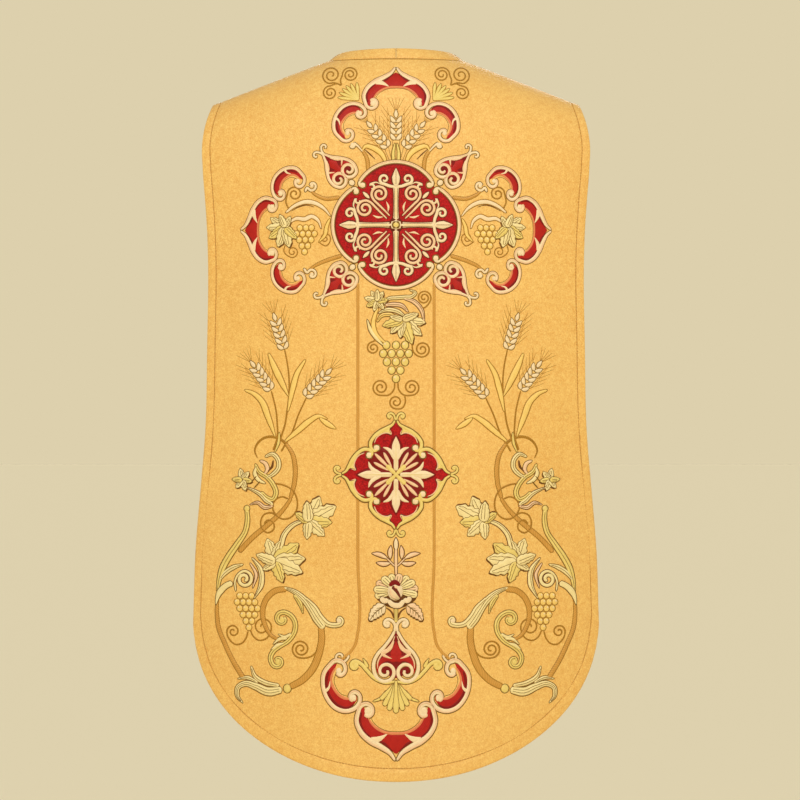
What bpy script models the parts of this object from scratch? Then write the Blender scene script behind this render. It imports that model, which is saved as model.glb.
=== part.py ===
"""A Roman chasuble in golden cloth, in its worn and hollow form.

A wide back panel and a narrow front panel meet at the shoulder seams, and a neck band in two halves edges the
neck opening. The back carries a round medallion in its cord rim and the two braids of the column below it.
Metres, +Z up, back at -Y, origin in the middle of the neck opening at the height of the neck seam.
"""

import math

import bmesh
import bpy
import numpy as np

# Cloth and seams
WALL = 0.0024
SEAM_GAP = 0.0003
BACK = -1
FRONT = 1

# Shoulder line, seen from behind: a ridge that falls away from the neck on both sides
RIDGE_TOP = 0.0203
SHOULDER_SLOPE = 0.40
RIDGE_ROUNDING = 0.05
TIP_HALF_WIDTH = 0.279

# Arch of the cloth over the shoulder, level on the ridge and plumb at its foot
ARCH_LENGTH = 0.30
ARCH_TURN = 3.0
ARCH_STEPS = 400
ARCH_DROP_CENTRE = 0.255
ARCH_DROP_TIP = 0.200

# Plan of each panel: how far its middle and its edge stand out from the ridge, at the arch and at the hem
PLAN_HALF_WIDTH = 0.30
PLAN_ROUNDNESS = 2.3
PLAN_DEPTHS = {
    # side: (middle at the arch, edge at the arch, middle at the hem, edge at the hem)
    BACK: (0.115, 0.064, 0.136, 0.050),
    FRONT: (0.126, 0.070, 0.142, 0.062),
}

# Soft flutes that open towards the hem
FLUTE_START = 0.30
FLUTES = {
    # side: rows of (place across, half width, depth at the hem)
    BACK: (
        (-0.205, 0.060, -0.0060),
        (-0.085, 0.050, 0.0035),
        (0.095, 0.055, 0.0030),
        (0.215, 0.055, -0.0065),
    ),
    FRONT: (
        (-0.130, 0.055, -0.0060),
        (0.010, 0.060, 0.0040),
        (0.145, 0.050, -0.0070),
    ),
}

# Outlines, from the shoulder tip down to where the rounded hem begins
HALF_WIDTHS = {
    # side: rows of (height, half width)
    BACK: (
        (-0.073, 0.279),
        (-0.098, 0.288),
        (-0.128, 0.293),
        (-0.166, 0.292),
        (-0.219, 0.288),
        (-0.294, 0.284),
        (-0.430, 0.285),
        (-0.578, 0.289),
        (-0.642, 0.2945),
        (-0.747, 0.3035),
        (-0.846, 0.307),
    ),
    FRONT: (
        (-0.073, 0.279),
        (-0.105, 0.268),
        (-0.150, 0.240),
        (-0.205, 0.218),
        (-0.280, 0.205),
        (-0.380, 0.203),
        (-0.500, 0.210),
        (-0.640, 0.226),
        (-0.790, 0.243),
    ),
}
HEM_BOTTOM = {BACK: -1.091, FRONT: -0.972}
HEM_ROUNDNESS = 2.2

# Neck opening and its band
NECK_HEIGHT = -0.005
FRONT_NECK_FALL = 0.150
FRONT_NECK_ROUNDING = 0.025
BAND_WIDTH = 0.019
BAND_LIFTS = (0.45, 0.28, 0.10)

# Medallion and column braids on the back
MEDALLION_HEIGHT = -0.2597
MEDALLION_RADIUS = 0.0905
RIM_WIDTH = 0.0058
RIM_THICKNESS = 0.0016
MEDALLION_THICKNESS = 0.0010
BRAID_OFFSET = 0.057
BRAID_WIDTH = 0.0045
BRAID_THICKNESS = 0.0013
BRAID_TOP = -0.346
BRAID_BEND = -0.874
BRAID_BEND_RADIUS = 0.034

# Mesh density
NECK_COLUMNS = 11
SHOULDER_COLUMNS = 9
PANEL_ROWS = 25
ROW_CROWDING = 1.35
NORMAL_STEP = 1e-4


def arch_table():
    """Depth and drop of the arch at even steps along it, both running from 0 to 1.

    The cloth's tilt goes from level to plumb as 1 - (1 - t) ** ARCH_TURN, so it turns fastest on the ridge.
    """
    middles = (np.arange(ARCH_STEPS) + 0.5) / ARCH_STEPS
    tilt = 0.5 * math.pi * (1 - (1 - middles) ** ARCH_TURN)
    depth = np.concatenate([[0.0], np.cumsum(np.cos(tilt))])
    drop = np.concatenate([[0.0], np.cumsum(np.sin(tilt))])
    return np.linspace(0, 1, ARCH_STEPS + 1), depth / depth[-1], drop / drop[-1]


ARCH_PLACES, ARCH_DEPTHS, ARCH_DROPS = arch_table()


def through_rows(at, rows):
    """A smooth curve through (place, value) rows, each row's slope taken from its neighbours."""
    places, values = np.array(sorted(rows)).T
    slopes = np.gradient(values, places)
    i = np.clip(np.searchsorted(places, at) - 1, 0, len(places) - 2)
    span = places[i + 1] - places[i]
    t = np.clip((at - places[i]) / span, 0.0, 1.0)
    start = (1 + 2 * t) * (1 - t) ** 2 * values[i] + t * (1 - t) ** 2 * span * slopes[i]
    end = t * t * (3 - 2 * t) * values[i + 1] - t * t * (1 - t) * span * slopes[i + 1]
    return start + end


def ridge_height(x):
    return RIDGE_TOP - SHOULDER_SLOPE * (np.sqrt(x * x + RIDGE_ROUNDING**2) - RIDGE_ROUNDING)


def arch_drop(x):
    return ARCH_DROP_CENTRE - (ARCH_DROP_CENTRE - ARCH_DROP_TIP) * (x / PLAN_HALF_WIDTH) ** 2


def full_fall(side):
    """Cloth from the ridge to the lowest point of the hem."""
    return ARCH_LENGTH + RIDGE_TOP - ARCH_DROP_CENTRE - HEM_BOTTOM[side]


def plan_depth(x, fall, side):
    """How far the panel stands out from the ridge: its plan deepens and rounds from the arch to the hem."""
    middle_top, edge_top, middle_hem, edge_hem = PLAN_DEPTHS[side]
    hang = np.clip(fall / full_fall(side), 0.0, 1.0)
    middle = middle_top + (middle_hem - middle_top) * hang
    edge = edge_top + (edge_hem - edge_top) * hang
    depth = middle - (middle - edge) * (np.abs(x) / PLAN_HALF_WIDTH) ** PLAN_ROUNDNESS
    opening = np.clip((hang - FLUTE_START) / (1 - FLUTE_START), 0.0, 1.0) ** 2
    for place, half_width, flute in FLUTES[side]:
        depth = depth + opening * flute * np.exp(-(((x - place) / half_width) ** 2))
    return depth


def cloth_point(x, fall, side):
    """Point on the outer face, fall metres down the cloth from the ridge."""
    along = np.minimum(np.abs(fall) / ARCH_LENGTH, 1.0)
    out = np.sign(fall) * np.interp(along, ARCH_PLACES, ARCH_DEPTHS)
    down = arch_drop(x) * np.interp(along, ARCH_PLACES, ARCH_DROPS)
    hanging = np.maximum(np.abs(fall) - ARCH_LENGTH, 0.0)
    y = side * out * plan_depth(x, np.abs(fall), side)
    z = ridge_height(x) - down - hanging
    return np.stack([x + 0 * z, y, z], axis=-1)


def cloth_normal(x, fall, side):
    """Outward normal, from small steps across and down the cloth."""
    step = NORMAL_STEP
    across = cloth_point(x + step, fall, side) - cloth_point(x - step, fall, side)
    down = cloth_point(x, fall + step, side) - cloth_point(x, fall - step, side)
    normal = -side * np.cross(down, across)
    return normal / np.linalg.norm(normal, axis=-1, keepdims=True)


def fall_at_height(x, z):
    """How far down the cloth the height z lies, at x across."""
    drop = ridge_height(x) - z
    arch = arch_drop(x)
    share = np.clip(drop / arch, 0.0, 1.0)
    return ARCH_LENGTH * np.interp(share, ARCH_DROPS, ARCH_PLACES) + np.maximum(drop - arch, 0.0)


def above_cloth(x, fall, side, height):
    return cloth_point(x, fall, side) + cloth_normal(x, fall, side) * np.asarray(height)[..., None]


def neck_half_width():
    """Where the ridge has come down to the height of the neck seam."""
    reach = (RIDGE_TOP - NECK_HEIGHT) / SHOULDER_SLOPE + RIDGE_ROUNDING
    return math.sqrt(reach**2 - RIDGE_ROUNDING**2)


NECK_HALF_WIDTH = neck_half_width()


def neck_fall(x, side):
    """Fall of the neck seam below the ridge: level behind, a rounded V in front, nothing past the neck."""
    inside = np.minimum(np.abs(x), NECK_HALF_WIDTH)
    if side == BACK:
        return fall_at_height(inside, np.minimum(NECK_HEIGHT, ridge_height(inside)))
    rounding = FRONT_NECK_ROUNDING
    slant = np.sqrt(inside**2 + rounding**2) - rounding
    slant_at_ridge = math.hypot(NECK_HALF_WIDTH, rounding) - rounding
    return FRONT_NECK_FALL * (1 - slant / slant_at_ridge)


def hem_height(x, side):
    """The rounded hem, from its lowest point up to where the side edge begins."""
    start, half_width = HALF_WIDTHS[side][-1]
    share = np.clip(1 - (x / half_width) ** 2, 0.0, 1.0)
    return start + (HEM_BOTTOM[side] - start) * share ** (1 / HEM_ROUNDNESS)


def column_places():
    """Columns from the left edge to the right, as shares of the half width, close together by neck and edge."""
    neck = NECK_HALF_WIDTH / TIP_HALF_WIDTH
    inner = neck * np.sin(0.5 * math.pi * np.arange(NECK_COLUMNS + 1) / NECK_COLUMNS)
    quarter = np.arange(1, SHOULDER_COLUMNS + 1) / SHOULDER_COLUMNS
    outer = neck + (1 - neck) * np.sin(0.5 * math.pi * quarter)
    half = np.concatenate([inner, outer])
    return np.concatenate([-half[:0:-1], half])


def panel_grid(side):
    """Columns and falls of one panel, from its top edge to its hem."""
    u = column_places()[None, :]
    f = (np.linspace(0, 1, PANEL_ROWS)[:, None]) ** ROW_CROWDING
    hem_start, hem_half_width = HALF_WIDTHS[side][-1]
    edge_fall = f * fall_at_height(hem_half_width, hem_start)
    edge_height = cloth_point(np.full_like(edge_fall, TIP_HALF_WIDTH), edge_fall, side)[..., 2]
    x = u * through_rows(edge_height, HALF_WIDTHS[side])
    top = neck_fall(u * TIP_HALF_WIDTH, side)
    hem_x = u * hem_half_width
    hem = fall_at_height(hem_x, hem_height(hem_x, side))
    return x, top + f * (hem - top)


def set_back_from_ridge(points, side):
    """Keeps half the shoulder seam's gap between the panel and the ridge plane."""
    clear = points.copy()
    clear[..., 1] = side * np.maximum(side * clear[..., 1], SEAM_GAP / 2)
    return clear


def material(name, colour, roughness, metallic):
    made = bpy.data.materials.new(name)
    made.use_nodes = True
    shader = made.node_tree.nodes["Principled BSDF"]
    shader.inputs["Base Color"].default_value = (*colour, 1.0)
    shader.inputs["Roughness"].default_value = roughness
    shader.inputs["Metallic"].default_value = metallic
    made.diffuse_color = (*colour, 1.0)
    return made


def add_object(name, points, faces, finish):
    """A smooth-shaded object whose faces all point out."""
    mesh = bpy.data.meshes.new(name)
    mesh.from_pydata(points.reshape(-1, 3).tolist(), [], faces.tolist())
    work = bmesh.new()
    work.from_mesh(mesh)
    bmesh.ops.recalc_face_normals(work, faces=work.faces)
    work.to_mesh(mesh)
    work.free()
    mesh.shade_smooth()
    mesh.set_sharp_from_angle(angle=math.radians(40))
    mesh.materials.append(finish)
    made = bpy.data.objects.new(name, mesh)
    bpy.context.scene.collection.objects.link(made)
    return made


def grid_faces(index):
    corners = [index[:-1, :-1], index[1:, :-1], index[1:, 1:], index[:-1, 1:]]
    return np.stack(corners, axis=-1).reshape(-1, 4)


def wall(name, outer, inner, finish):
    """A closed wall between two grids of the same rows and columns, with strips round its four edges."""
    rows, columns = outer.shape[:2]
    index = np.arange(rows * columns).reshape(rows, columns)
    below = rows * columns
    round_edge = np.concatenate([index[0, :-1], index[:-1, -1], index[-1, :0:-1], index[:0:-1, 0]])
    onward = np.roll(round_edge, -1)
    strip = np.stack([round_edge, onward, onward + below, round_edge + below], axis=-1)
    faces = np.concatenate([grid_faces(index), grid_faces(index + below)[:, ::-1], strip])
    return add_object(name, np.concatenate([outer.reshape(-1, 3), inner.reshape(-1, 3)]), faces, finish)


def ring(name, outer, inner, finish):
    """A wall whose columns close on themselves, the last next to the first."""
    rows, columns = outer.shape[:2]
    index = np.arange(rows * columns).reshape(rows, columns)
    index = np.concatenate([index, index[:, :1]], axis=1)
    below = rows * columns
    faces = [grid_faces(index), grid_faces(index + below)[:, ::-1]]
    for edge in (index[0], index[-1]):
        faces.append(np.stack([edge[:-1], edge[1:], edge[1:] + below, edge[:-1] + below], axis=-1))
    points = np.concatenate([outer.reshape(-1, 3), inner.reshape(-1, 3)])
    return add_object(name, points, np.concatenate(faces), finish)


def cloth_panel(name, side, finish):
    x, fall = panel_grid(side)
    outer = above_cloth(x, fall, side, 0.0)
    inner = above_cloth(x, fall, side, -WALL)
    return wall(name, set_back_from_ridge(outer, side), set_back_from_ridge(inner, side), finish)


def neck_seam(hand):
    """Places round half of the neck seam, from the back's centre over the shoulder to the front's centre.

    The first place lies half a seam's gap off the centre. Gives x, fall, side and how far round each place is.
    """
    quarter = 0.5 * math.pi
    back_turn = quarter * np.arange(NECK_COLUMNS) / NECK_COLUMNS
    turn = np.concatenate([back_turn, [quarter], back_turn[::-1]])
    side = np.concatenate([np.full(NECK_COLUMNS, BACK), np.full(NECK_COLUMNS + 1, FRONT)])
    x = np.maximum(NECK_HALF_WIDTH * np.sin(turn), SEAM_GAP / 2)
    fall = np.where(side == BACK, neck_fall(x, BACK), neck_fall(x, FRONT))
    return hand * x, fall, side, np.linspace(0, 1, len(x))


def on_either_side(work, x, fall, side):
    """work(x, fall, side) for places that lie partly on the back and partly on the front."""
    return np.where((side == BACK)[:, None], work(x, fall, BACK), work(x, fall, FRONT))


def neck_band(name, hand, finish):
    """Half of the neck band: a strip that rises from the neck seam, steepest behind."""
    x, fall, side, round_neck = neck_seam(hand)
    edge = on_either_side(cloth_point, x, fall, side)
    normal = on_either_side(cloth_normal, x, fall, side)
    along = np.gradient(edge, axis=0)
    along[0] = along[-1] = (hand, 0.0, 0.0)
    along[-1] *= -1
    along /= np.linalg.norm(along, axis=1, keepdims=True)
    inward = np.cross(normal, along) * hand
    lift = through_rows(round_neck, tuple(zip((0.0, 0.5, 1.0), BAND_LIFTS)))
    upward = inward + lift[:, None] * np.array([0.0, 0.0, 1.0])
    upward[[0, -1], 0] = 0.0
    upward /= np.linalg.norm(upward, axis=1, keepdims=True)
    face = np.cross(along, upward) * hand
    foot_outer = edge + inward * SEAM_GAP
    foot_inner = foot_outer - normal * WALL
    top_outer = foot_outer + upward * BAND_WIDTH
    top_inner = top_outer - face * WALL
    outer = np.stack([foot_outer, top_outer], axis=0)
    inner = np.stack([foot_inner, top_inner], axis=0)
    for points in (outer, inner):
        points[..., 0] = hand * np.maximum(hand * points[..., 0], SEAM_GAP / 2)
    return wall(name, outer, inner, finish)


def on_back(x, z, height):
    """Points over the back panel at (x, z) as seen from behind, height metres off the cloth."""
    return above_cloth(x, fall_at_height(x, z), BACK, height)


def medallion_ground(finish):
    """The round appliqué: a square grid drawn out into a disc, lying on the back."""
    side = np.linspace(-1, 1, 15)
    u, v = np.meshgrid(side, side)
    x = MEDALLION_RADIUS * u * np.sqrt(1 - v * v / 2)
    z = MEDALLION_HEIGHT + MEDALLION_RADIUS * v * np.sqrt(1 - u * u / 2)
    top = on_back(x, z, SEAM_GAP + MEDALLION_THICKNESS)
    return wall("medallion_ground", top, on_back(x, z, SEAM_GAP), finish)


def medallion_rim(finish):
    """The cord rim: a low crowned ring just outside the appliqué."""
    turn = np.linspace(0, 2 * math.pi, 56, endpoint=False)[None, :]
    share = np.array([0.0, 0.25, 0.5, 0.75, 1.0])[:, None]
    radius = MEDALLION_RADIUS + SEAM_GAP + share * RIM_WIDTH
    crown = SEAM_GAP + RIM_THICKNESS * (0.35 + 0.65 * np.sin(math.pi * share))
    x = radius * np.sin(turn)
    z = MEDALLION_HEIGHT + radius * np.cos(turn)
    return ring("medallion_rim", on_back(x, z, crown), on_back(x, z, SEAM_GAP), finish)


def column_braid(name, hand, finish):
    """One braid of the column: straight down the back, then curling outwards at its foot."""
    straight = np.linspace(BRAID_TOP, BRAID_BEND, 22)
    bend = np.linspace(0, 0.5 * math.pi, 9)[1:]
    path_x = np.concatenate([np.zeros_like(straight), BRAID_BEND_RADIUS * (1 - np.cos(bend))])
    path_z = np.concatenate([straight, BRAID_BEND - BRAID_BEND_RADIUS * np.sin(bend)])
    heading = np.concatenate([np.zeros_like(straight), bend])
    across = np.linspace(-0.5, 0.5, 5)[:, None] * BRAID_WIDTH
    x = hand * (BRAID_OFFSET + path_x + across * np.cos(heading))
    z = path_z + across * np.sin(heading)
    crown = SEAM_GAP + BRAID_THICKNESS * (1 - (across / BRAID_WIDTH) ** 2 * 2.4)
    return wall(name, on_back(x, z, crown), on_back(x, z, SEAM_GAP), finish)


def main():
    for old in list(bpy.data.objects):
        bpy.data.objects.remove(old, do_unlink=True)
    gold_cloth = material("gold lame cloth", (0.83, 0.50, 0.12), 0.55, 0.1)
    red_cloth = material("red applique cloth", (0.55, 0.012, 0.02), 0.6, 0.0)
    pale_cord = material("pale gold cord", (0.90, 0.74, 0.38), 0.45, 0.3)
    brown_braid = material("brown gold braid", (0.55, 0.26, 0.045), 0.5, 0.3)
    cloth_panel("back_panel", BACK, gold_cloth)
    cloth_panel("front_panel", FRONT, gold_cloth)
    for word, hand in (("left", -1), ("right", 1)):
        neck_band(f"neck_band_{word}", hand, gold_cloth)
        column_braid(f"column_braid_{word}", hand, brown_braid)
    medallion_ground(red_cloth)
    medallion_rim(pale_cord)


main()
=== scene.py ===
"""The looks of a Roman chasuble: golden lame cloth in its worn form, embroidered on the back.

Metres, +Z up, back at -Y. The embroidery is drawn as strokes, in millimetres across the back and down from
the neck seam, and laid on the cloth when the strokes of a piece are joined.
"""

import math

import bmesh
import bpy
import numpy as np
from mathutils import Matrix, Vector


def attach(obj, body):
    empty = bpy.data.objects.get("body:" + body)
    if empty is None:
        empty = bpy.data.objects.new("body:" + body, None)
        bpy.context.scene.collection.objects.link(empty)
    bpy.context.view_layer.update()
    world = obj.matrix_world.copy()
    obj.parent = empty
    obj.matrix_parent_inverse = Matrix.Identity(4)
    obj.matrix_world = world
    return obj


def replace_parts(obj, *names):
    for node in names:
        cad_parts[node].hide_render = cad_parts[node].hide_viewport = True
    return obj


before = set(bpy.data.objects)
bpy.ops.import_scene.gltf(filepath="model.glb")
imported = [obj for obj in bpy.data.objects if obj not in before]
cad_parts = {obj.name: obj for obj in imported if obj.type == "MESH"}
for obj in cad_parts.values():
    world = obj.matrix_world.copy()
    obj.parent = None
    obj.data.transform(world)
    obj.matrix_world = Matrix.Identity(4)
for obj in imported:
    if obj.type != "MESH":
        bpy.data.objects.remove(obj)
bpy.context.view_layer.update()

MM = 0.001

# Cloth, with the sizes of its solids
WALL = 0.0024
SEAM_GAP = 0.0003
BACK = -1
FRONT = 1
RIDGE_TOP = 0.0203
SHOULDER_SLOPE = 0.40
RIDGE_ROUNDING = 0.05
TIP_HALF_WIDTH = 0.279
ARCH_LENGTH = 0.30
ARCH_TURN = 3.0
ARCH_STEPS = 400
ARCH_DROP_CENTRE = 0.255
ARCH_DROP_TIP = 0.200
PLAN_HALF_WIDTH = 0.30
PLAN_ROUNDNESS = 2.3
PLAN_DEPTHS = {
    # side: (middle at the arch, edge at the arch, middle at the hem, edge at the hem)
    BACK: (0.115, 0.064, 0.136, 0.050),
    FRONT: (0.126, 0.070, 0.142, 0.062),
}
FLUTE_START = 0.30
FLUTES = {
    # side: rows of (place across, half width, depth at the hem)
    BACK: (
        (-0.205, 0.060, -0.0060),
        (-0.085, 0.050, 0.0035),
        (0.095, 0.055, 0.0030),
        (0.215, 0.055, -0.0065),
    ),
    FRONT: (
        (-0.130, 0.055, -0.0060),
        (0.010, 0.060, 0.0040),
        (0.145, 0.050, -0.0070),
    ),
}
HALF_WIDTHS = {
    # side: rows of (height, half width)
    BACK: (
        (-0.073, 0.279),
        (-0.098, 0.288),
        (-0.128, 0.293),
        (-0.166, 0.292),
        (-0.219, 0.288),
        (-0.294, 0.284),
        (-0.430, 0.285),
        (-0.578, 0.289),
        (-0.642, 0.2945),
        (-0.747, 0.3035),
        (-0.846, 0.307),
    ),
    FRONT: (
        (-0.073, 0.279),
        (-0.105, 0.268),
        (-0.150, 0.240),
        (-0.205, 0.218),
        (-0.280, 0.205),
        (-0.380, 0.203),
        (-0.500, 0.210),
        (-0.640, 0.226),
        (-0.790, 0.243),
    ),
}
HEM_BOTTOM = {BACK: -1.091, FRONT: -0.972}
HEM_ROUNDNESS = 2.2
NECK_HEIGHT = -0.005
FRONT_NECK_FALL = 0.150
FRONT_NECK_ROUNDING = 0.025
BAND_WIDTH = 0.019
BAND_LIFTS = (0.45, 0.28, 0.10)
NORMAL_STEP = 1e-4

# Soft creases of the hanging cloth
CREASES = {
    # side: rows of (place across, height of the middle, half length, half width, lean in degrees, depth)
    BACK: (
        (-0.232, -0.215, 0.110, 0.016, 9, -0.0012),
        (0.240, -0.240, 0.130, 0.018, -8, -0.0013),
        (-0.262, -0.520, 0.150, 0.014, 2, -0.0009),
        (0.258, -0.560, 0.120, 0.015, -3, -0.0010),
        (-0.150, -0.930, 0.120, 0.022, 4, 0.0014),
        (0.020, -0.985, 0.090, 0.024, -3, 0.0010),
        (0.168, -0.900, 0.150, 0.024, -6, 0.0015),
        (0.130, -0.100, 0.070, 0.014, -28, -0.0008),
        (-0.140, -0.105, 0.060, 0.013, 30, -0.0008),
    ),
    FRONT: (
        (-0.160, -0.170, 0.090, 0.015, 24, -0.0026),
        (0.150, -0.190, 0.110, 0.016, -20, -0.0028),
        (-0.120, -0.520, 0.190, 0.017, 3, -0.0026),
        (0.070, -0.610, 0.170, 0.020, -2, 0.0026),
        (0.165, -0.700, 0.160, 0.016, -4, -0.0028),
        (-0.040, -0.780, 0.130, 0.022, 2, 0.0024),
        (-0.060, -0.330, 0.120, 0.016, -9, -0.0018),
        (0.085, -0.350, 0.110, 0.017, 8, -0.0019),
    ),
}


def arch_table():
    """Depth and drop of the arch at even steps along it, both running from 0 to 1.

    The cloth's tilt goes from level to plumb as 1 - (1 - t) ** ARCH_TURN, so it turns fastest on the ridge.
    """
    middles = (np.arange(ARCH_STEPS) + 0.5) / ARCH_STEPS
    tilt = 0.5 * math.pi * (1 - (1 - middles) ** ARCH_TURN)
    depth = np.concatenate([[0.0], np.cumsum(np.cos(tilt))])
    drop = np.concatenate([[0.0], np.cumsum(np.sin(tilt))])
    return np.linspace(0, 1, ARCH_STEPS + 1), depth / depth[-1], drop / drop[-1]


ARCH_PLACES, ARCH_DEPTHS, ARCH_DROPS = arch_table()


def hermite(at, places, values):
    """A smooth curve through values at rising places, each one's slope taken from its neighbours."""
    slopes = np.gradient(values, places, axis=0)
    i = np.clip(np.searchsorted(places, at) - 1, 0, len(places) - 2)
    span = places[i + 1] - places[i]
    t = np.clip((at - places[i]) / span, 0.0, 1.0)
    if values.ndim > 1:
        t, span = t[..., None], span[..., None]
    start = (1 + 2 * t) * (1 - t) ** 2 * values[i] + t * (1 - t) ** 2 * span * slopes[i]
    end = t * t * (3 - 2 * t) * values[i + 1] - t * t * (1 - t) * span * slopes[i + 1]
    return start + end


def through_rows(at, rows):
    """The smooth curve through a table's rows of (place, value)."""
    places, values = np.array(sorted(rows)).T
    return hermite(at, places, values)


def ridge_height(x):
    """Height of the shoulder ridge: a hyperbola, level at the neck and falling at the shoulders' slope."""
    return RIDGE_TOP - SHOULDER_SLOPE * (np.sqrt(x * x + RIDGE_ROUNDING**2) - RIDGE_ROUNDING)


def arch_drop(x):
    """How far the arch comes down: most in the middle, less by the square of the way to the side."""
    return ARCH_DROP_CENTRE - (ARCH_DROP_CENTRE - ARCH_DROP_TIP) * (x / PLAN_HALF_WIDTH) ** 2


def full_fall(side):
    """Cloth from the ridge to the lowest point of the hem."""
    return ARCH_LENGTH + RIDGE_TOP - ARCH_DROP_CENTRE - HEM_BOTTOM[side]


def plan_depth(x, fall, side):
    """How far the panel stands out from the ridge: its plan deepens and rounds from the arch to the hem."""
    middle_top, edge_top, middle_hem, edge_hem = PLAN_DEPTHS[side]
    hang = np.clip(fall / full_fall(side), 0.0, 1.0)
    middle = middle_top + (middle_hem - middle_top) * hang
    edge = edge_top + (edge_hem - edge_top) * hang
    depth = middle - (middle - edge) * (np.abs(x) / PLAN_HALF_WIDTH) ** PLAN_ROUNDNESS
    opening = np.clip((hang - FLUTE_START) / (1 - FLUTE_START), 0.0, 1.0) ** 2
    for place, half_width, flute in FLUTES[side]:
        depth = depth + opening * flute * np.exp(-(((x - place) / half_width) ** 2))
    return depth


def cloth_point(x, fall, side):
    """Point on the outer face, fall metres down the cloth from the ridge."""
    along = np.minimum(np.abs(fall) / ARCH_LENGTH, 1.0)
    out = np.sign(fall) * np.interp(along, ARCH_PLACES, ARCH_DEPTHS)
    down = arch_drop(x) * np.interp(along, ARCH_PLACES, ARCH_DROPS)
    hanging = np.maximum(np.abs(fall) - ARCH_LENGTH, 0.0)
    y = side * out * plan_depth(x, np.abs(fall), side)
    z = ridge_height(x) - down - hanging
    return np.stack([x + 0 * z, y, z], axis=-1)


def cloth_normal(x, fall, side):
    """Outward normal, from small steps across and down the cloth."""
    step = NORMAL_STEP
    across = cloth_point(x + step, fall, side) - cloth_point(x - step, fall, side)
    down = cloth_point(x, fall + step, side) - cloth_point(x, fall - step, side)
    normal = -side * np.cross(down, across)
    return normal / np.linalg.norm(normal, axis=-1, keepdims=True)


def fall_at_height(x, z):
    """How far down the cloth the height z lies, at x across."""
    drop = ridge_height(x) - z
    arch = arch_drop(x)
    share = np.clip(drop / arch, 0.0, 1.0)
    return ARCH_LENGTH * np.interp(share, ARCH_DROPS, ARCH_PLACES) + np.maximum(drop - arch, 0.0)


def crease(x, z, side):
    """Height of the soft creases: each is a long rounded trough or ridge that fades towards its ends."""
    height = 0.0
    for place, middle, half_length, half_width, lean, depth in CREASES[side]:
        turn = math.radians(lean)
        along = (z - middle) * math.cos(turn) + (x - place) * math.sin(turn)
        across = (x - place) * math.cos(turn) - (z - middle) * math.sin(turn)
        height = height + depth * np.exp(-((along / half_length) ** 4) - (across / half_width) ** 2)
    return height


def above_cloth(x, fall, side, height):
    """Points height metres off the creased cloth."""
    point = cloth_point(x, fall, side)
    off = np.asarray(height) + crease(x, point[..., 2], side)
    return point + cloth_normal(x, fall, side) * off[..., None]


def neck_half_width():
    """Where the ridge has come down to the height of the neck seam."""
    reach = (RIDGE_TOP - NECK_HEIGHT) / SHOULDER_SLOPE + RIDGE_ROUNDING
    return math.sqrt(reach**2 - RIDGE_ROUNDING**2)


NECK_HALF_WIDTH = neck_half_width()


def neck_fall(x, side):
    """Fall of the neck seam below the ridge: level behind, a rounded V in front, nothing past the neck."""
    inside = np.minimum(np.abs(x), NECK_HALF_WIDTH)
    if side == BACK:
        return fall_at_height(inside, np.minimum(NECK_HEIGHT, ridge_height(inside)))
    rounding = FRONT_NECK_ROUNDING
    slant = np.sqrt(inside**2 + rounding**2) - rounding
    slant_at_ridge = math.hypot(NECK_HALF_WIDTH, rounding) - rounding
    return FRONT_NECK_FALL * (1 - slant / slant_at_ridge)


def hem_height(x, side):
    """The rounded hem, from its lowest point up to where the side edge begins."""
    start, half_width = HALF_WIDTHS[side][-1]
    share = np.clip(1 - (x / half_width) ** 2, 0.0, 1.0)
    return start + (HEM_BOTTOM[side] - start) * share ** (1 / HEM_ROUNDNESS)


# Materials

def linear(colour):
    """An sRGB hex colour as the linear values that shaders take."""
    channels = [int(colour[i : i + 2], 16) / 255 for i in (1, 3, 5)]
    return tuple(c / 12.92 if c <= 0.04045 else ((c + 0.055) / 1.055) ** 2.4 for c in channels) + (1.0,)


def add(tree, kind, values=None, links=None, **settings):
    """A node of this kind with its settings, its input values and the sockets that feed it."""
    made = tree.nodes.new(kind)
    for name, value in settings.items():
        setattr(made, name, value)
    for name, value in (values or {}).items():
        made.inputs[name].default_value = value
    for name, source in (links or {}).items():
        tree.links.new(source, made.inputs[name])
    return made


def new_material(name, values):
    """A material whose shader has these values."""
    made = bpy.data.materials.new(name)
    made.use_nodes = True
    tree = made.node_tree
    shader = tree.nodes["Principled BSDF"]
    for socket, value in values.items():
        shader.inputs[socket].default_value = value
    return made, tree, shader


def shade_of(tree, tone, dark, light, shader):
    """Colours the shader between two tones."""
    ramp = add(tree, "ShaderNodeValToRGB", links={"Fac": tone})
    ramp.color_ramp.elements[0].color = linear(dark)
    ramp.color_ramp.elements[1].color = linear(light)
    tree.links.new(ramp.outputs["Color"], shader.inputs["Base Color"])


def maths(tree, operation, first, second):
    """A maths node's output, its second input a value or another node's output."""
    if isinstance(second, float):
        return add(tree, "ShaderNodeMath", {1: second}, {0: first}, operation=operation).outputs[0]
    return add(tree, "ShaderNodeMath", links={0: first, 1: second}, operation=operation).outputs[0]


def spread(tree, value, low, high):
    """A value's range from low to high, mapped to 0 to 1."""
    limits = {"From Min": low, "From Max": high}
    return add(tree, "ShaderNodeMapRange", limits, {"Value": value}).outputs["Result"]


def raise_bump(tree, shader, height, strength, distance):
    """Lets a height stand out as fine relief."""
    values = {"Strength": strength, "Distance": distance}
    bump = add(tree, "ShaderNodeBump", values, {"Height": height})
    tree.links.new(bump.outputs["Normal"], shader.inputs["Normal"])


PEBBLE_SIZE = 0.0021
PEBBLE_SHARE = 0.9
PEBBLE_RELIEF = 0.0006
SLUB_SIZE = 0.0065
CLOUD_SIZE = 0.16
CLOUD_SHARE = 0.4
WAVE_PERIOD = 2 * math.pi / 20


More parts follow.
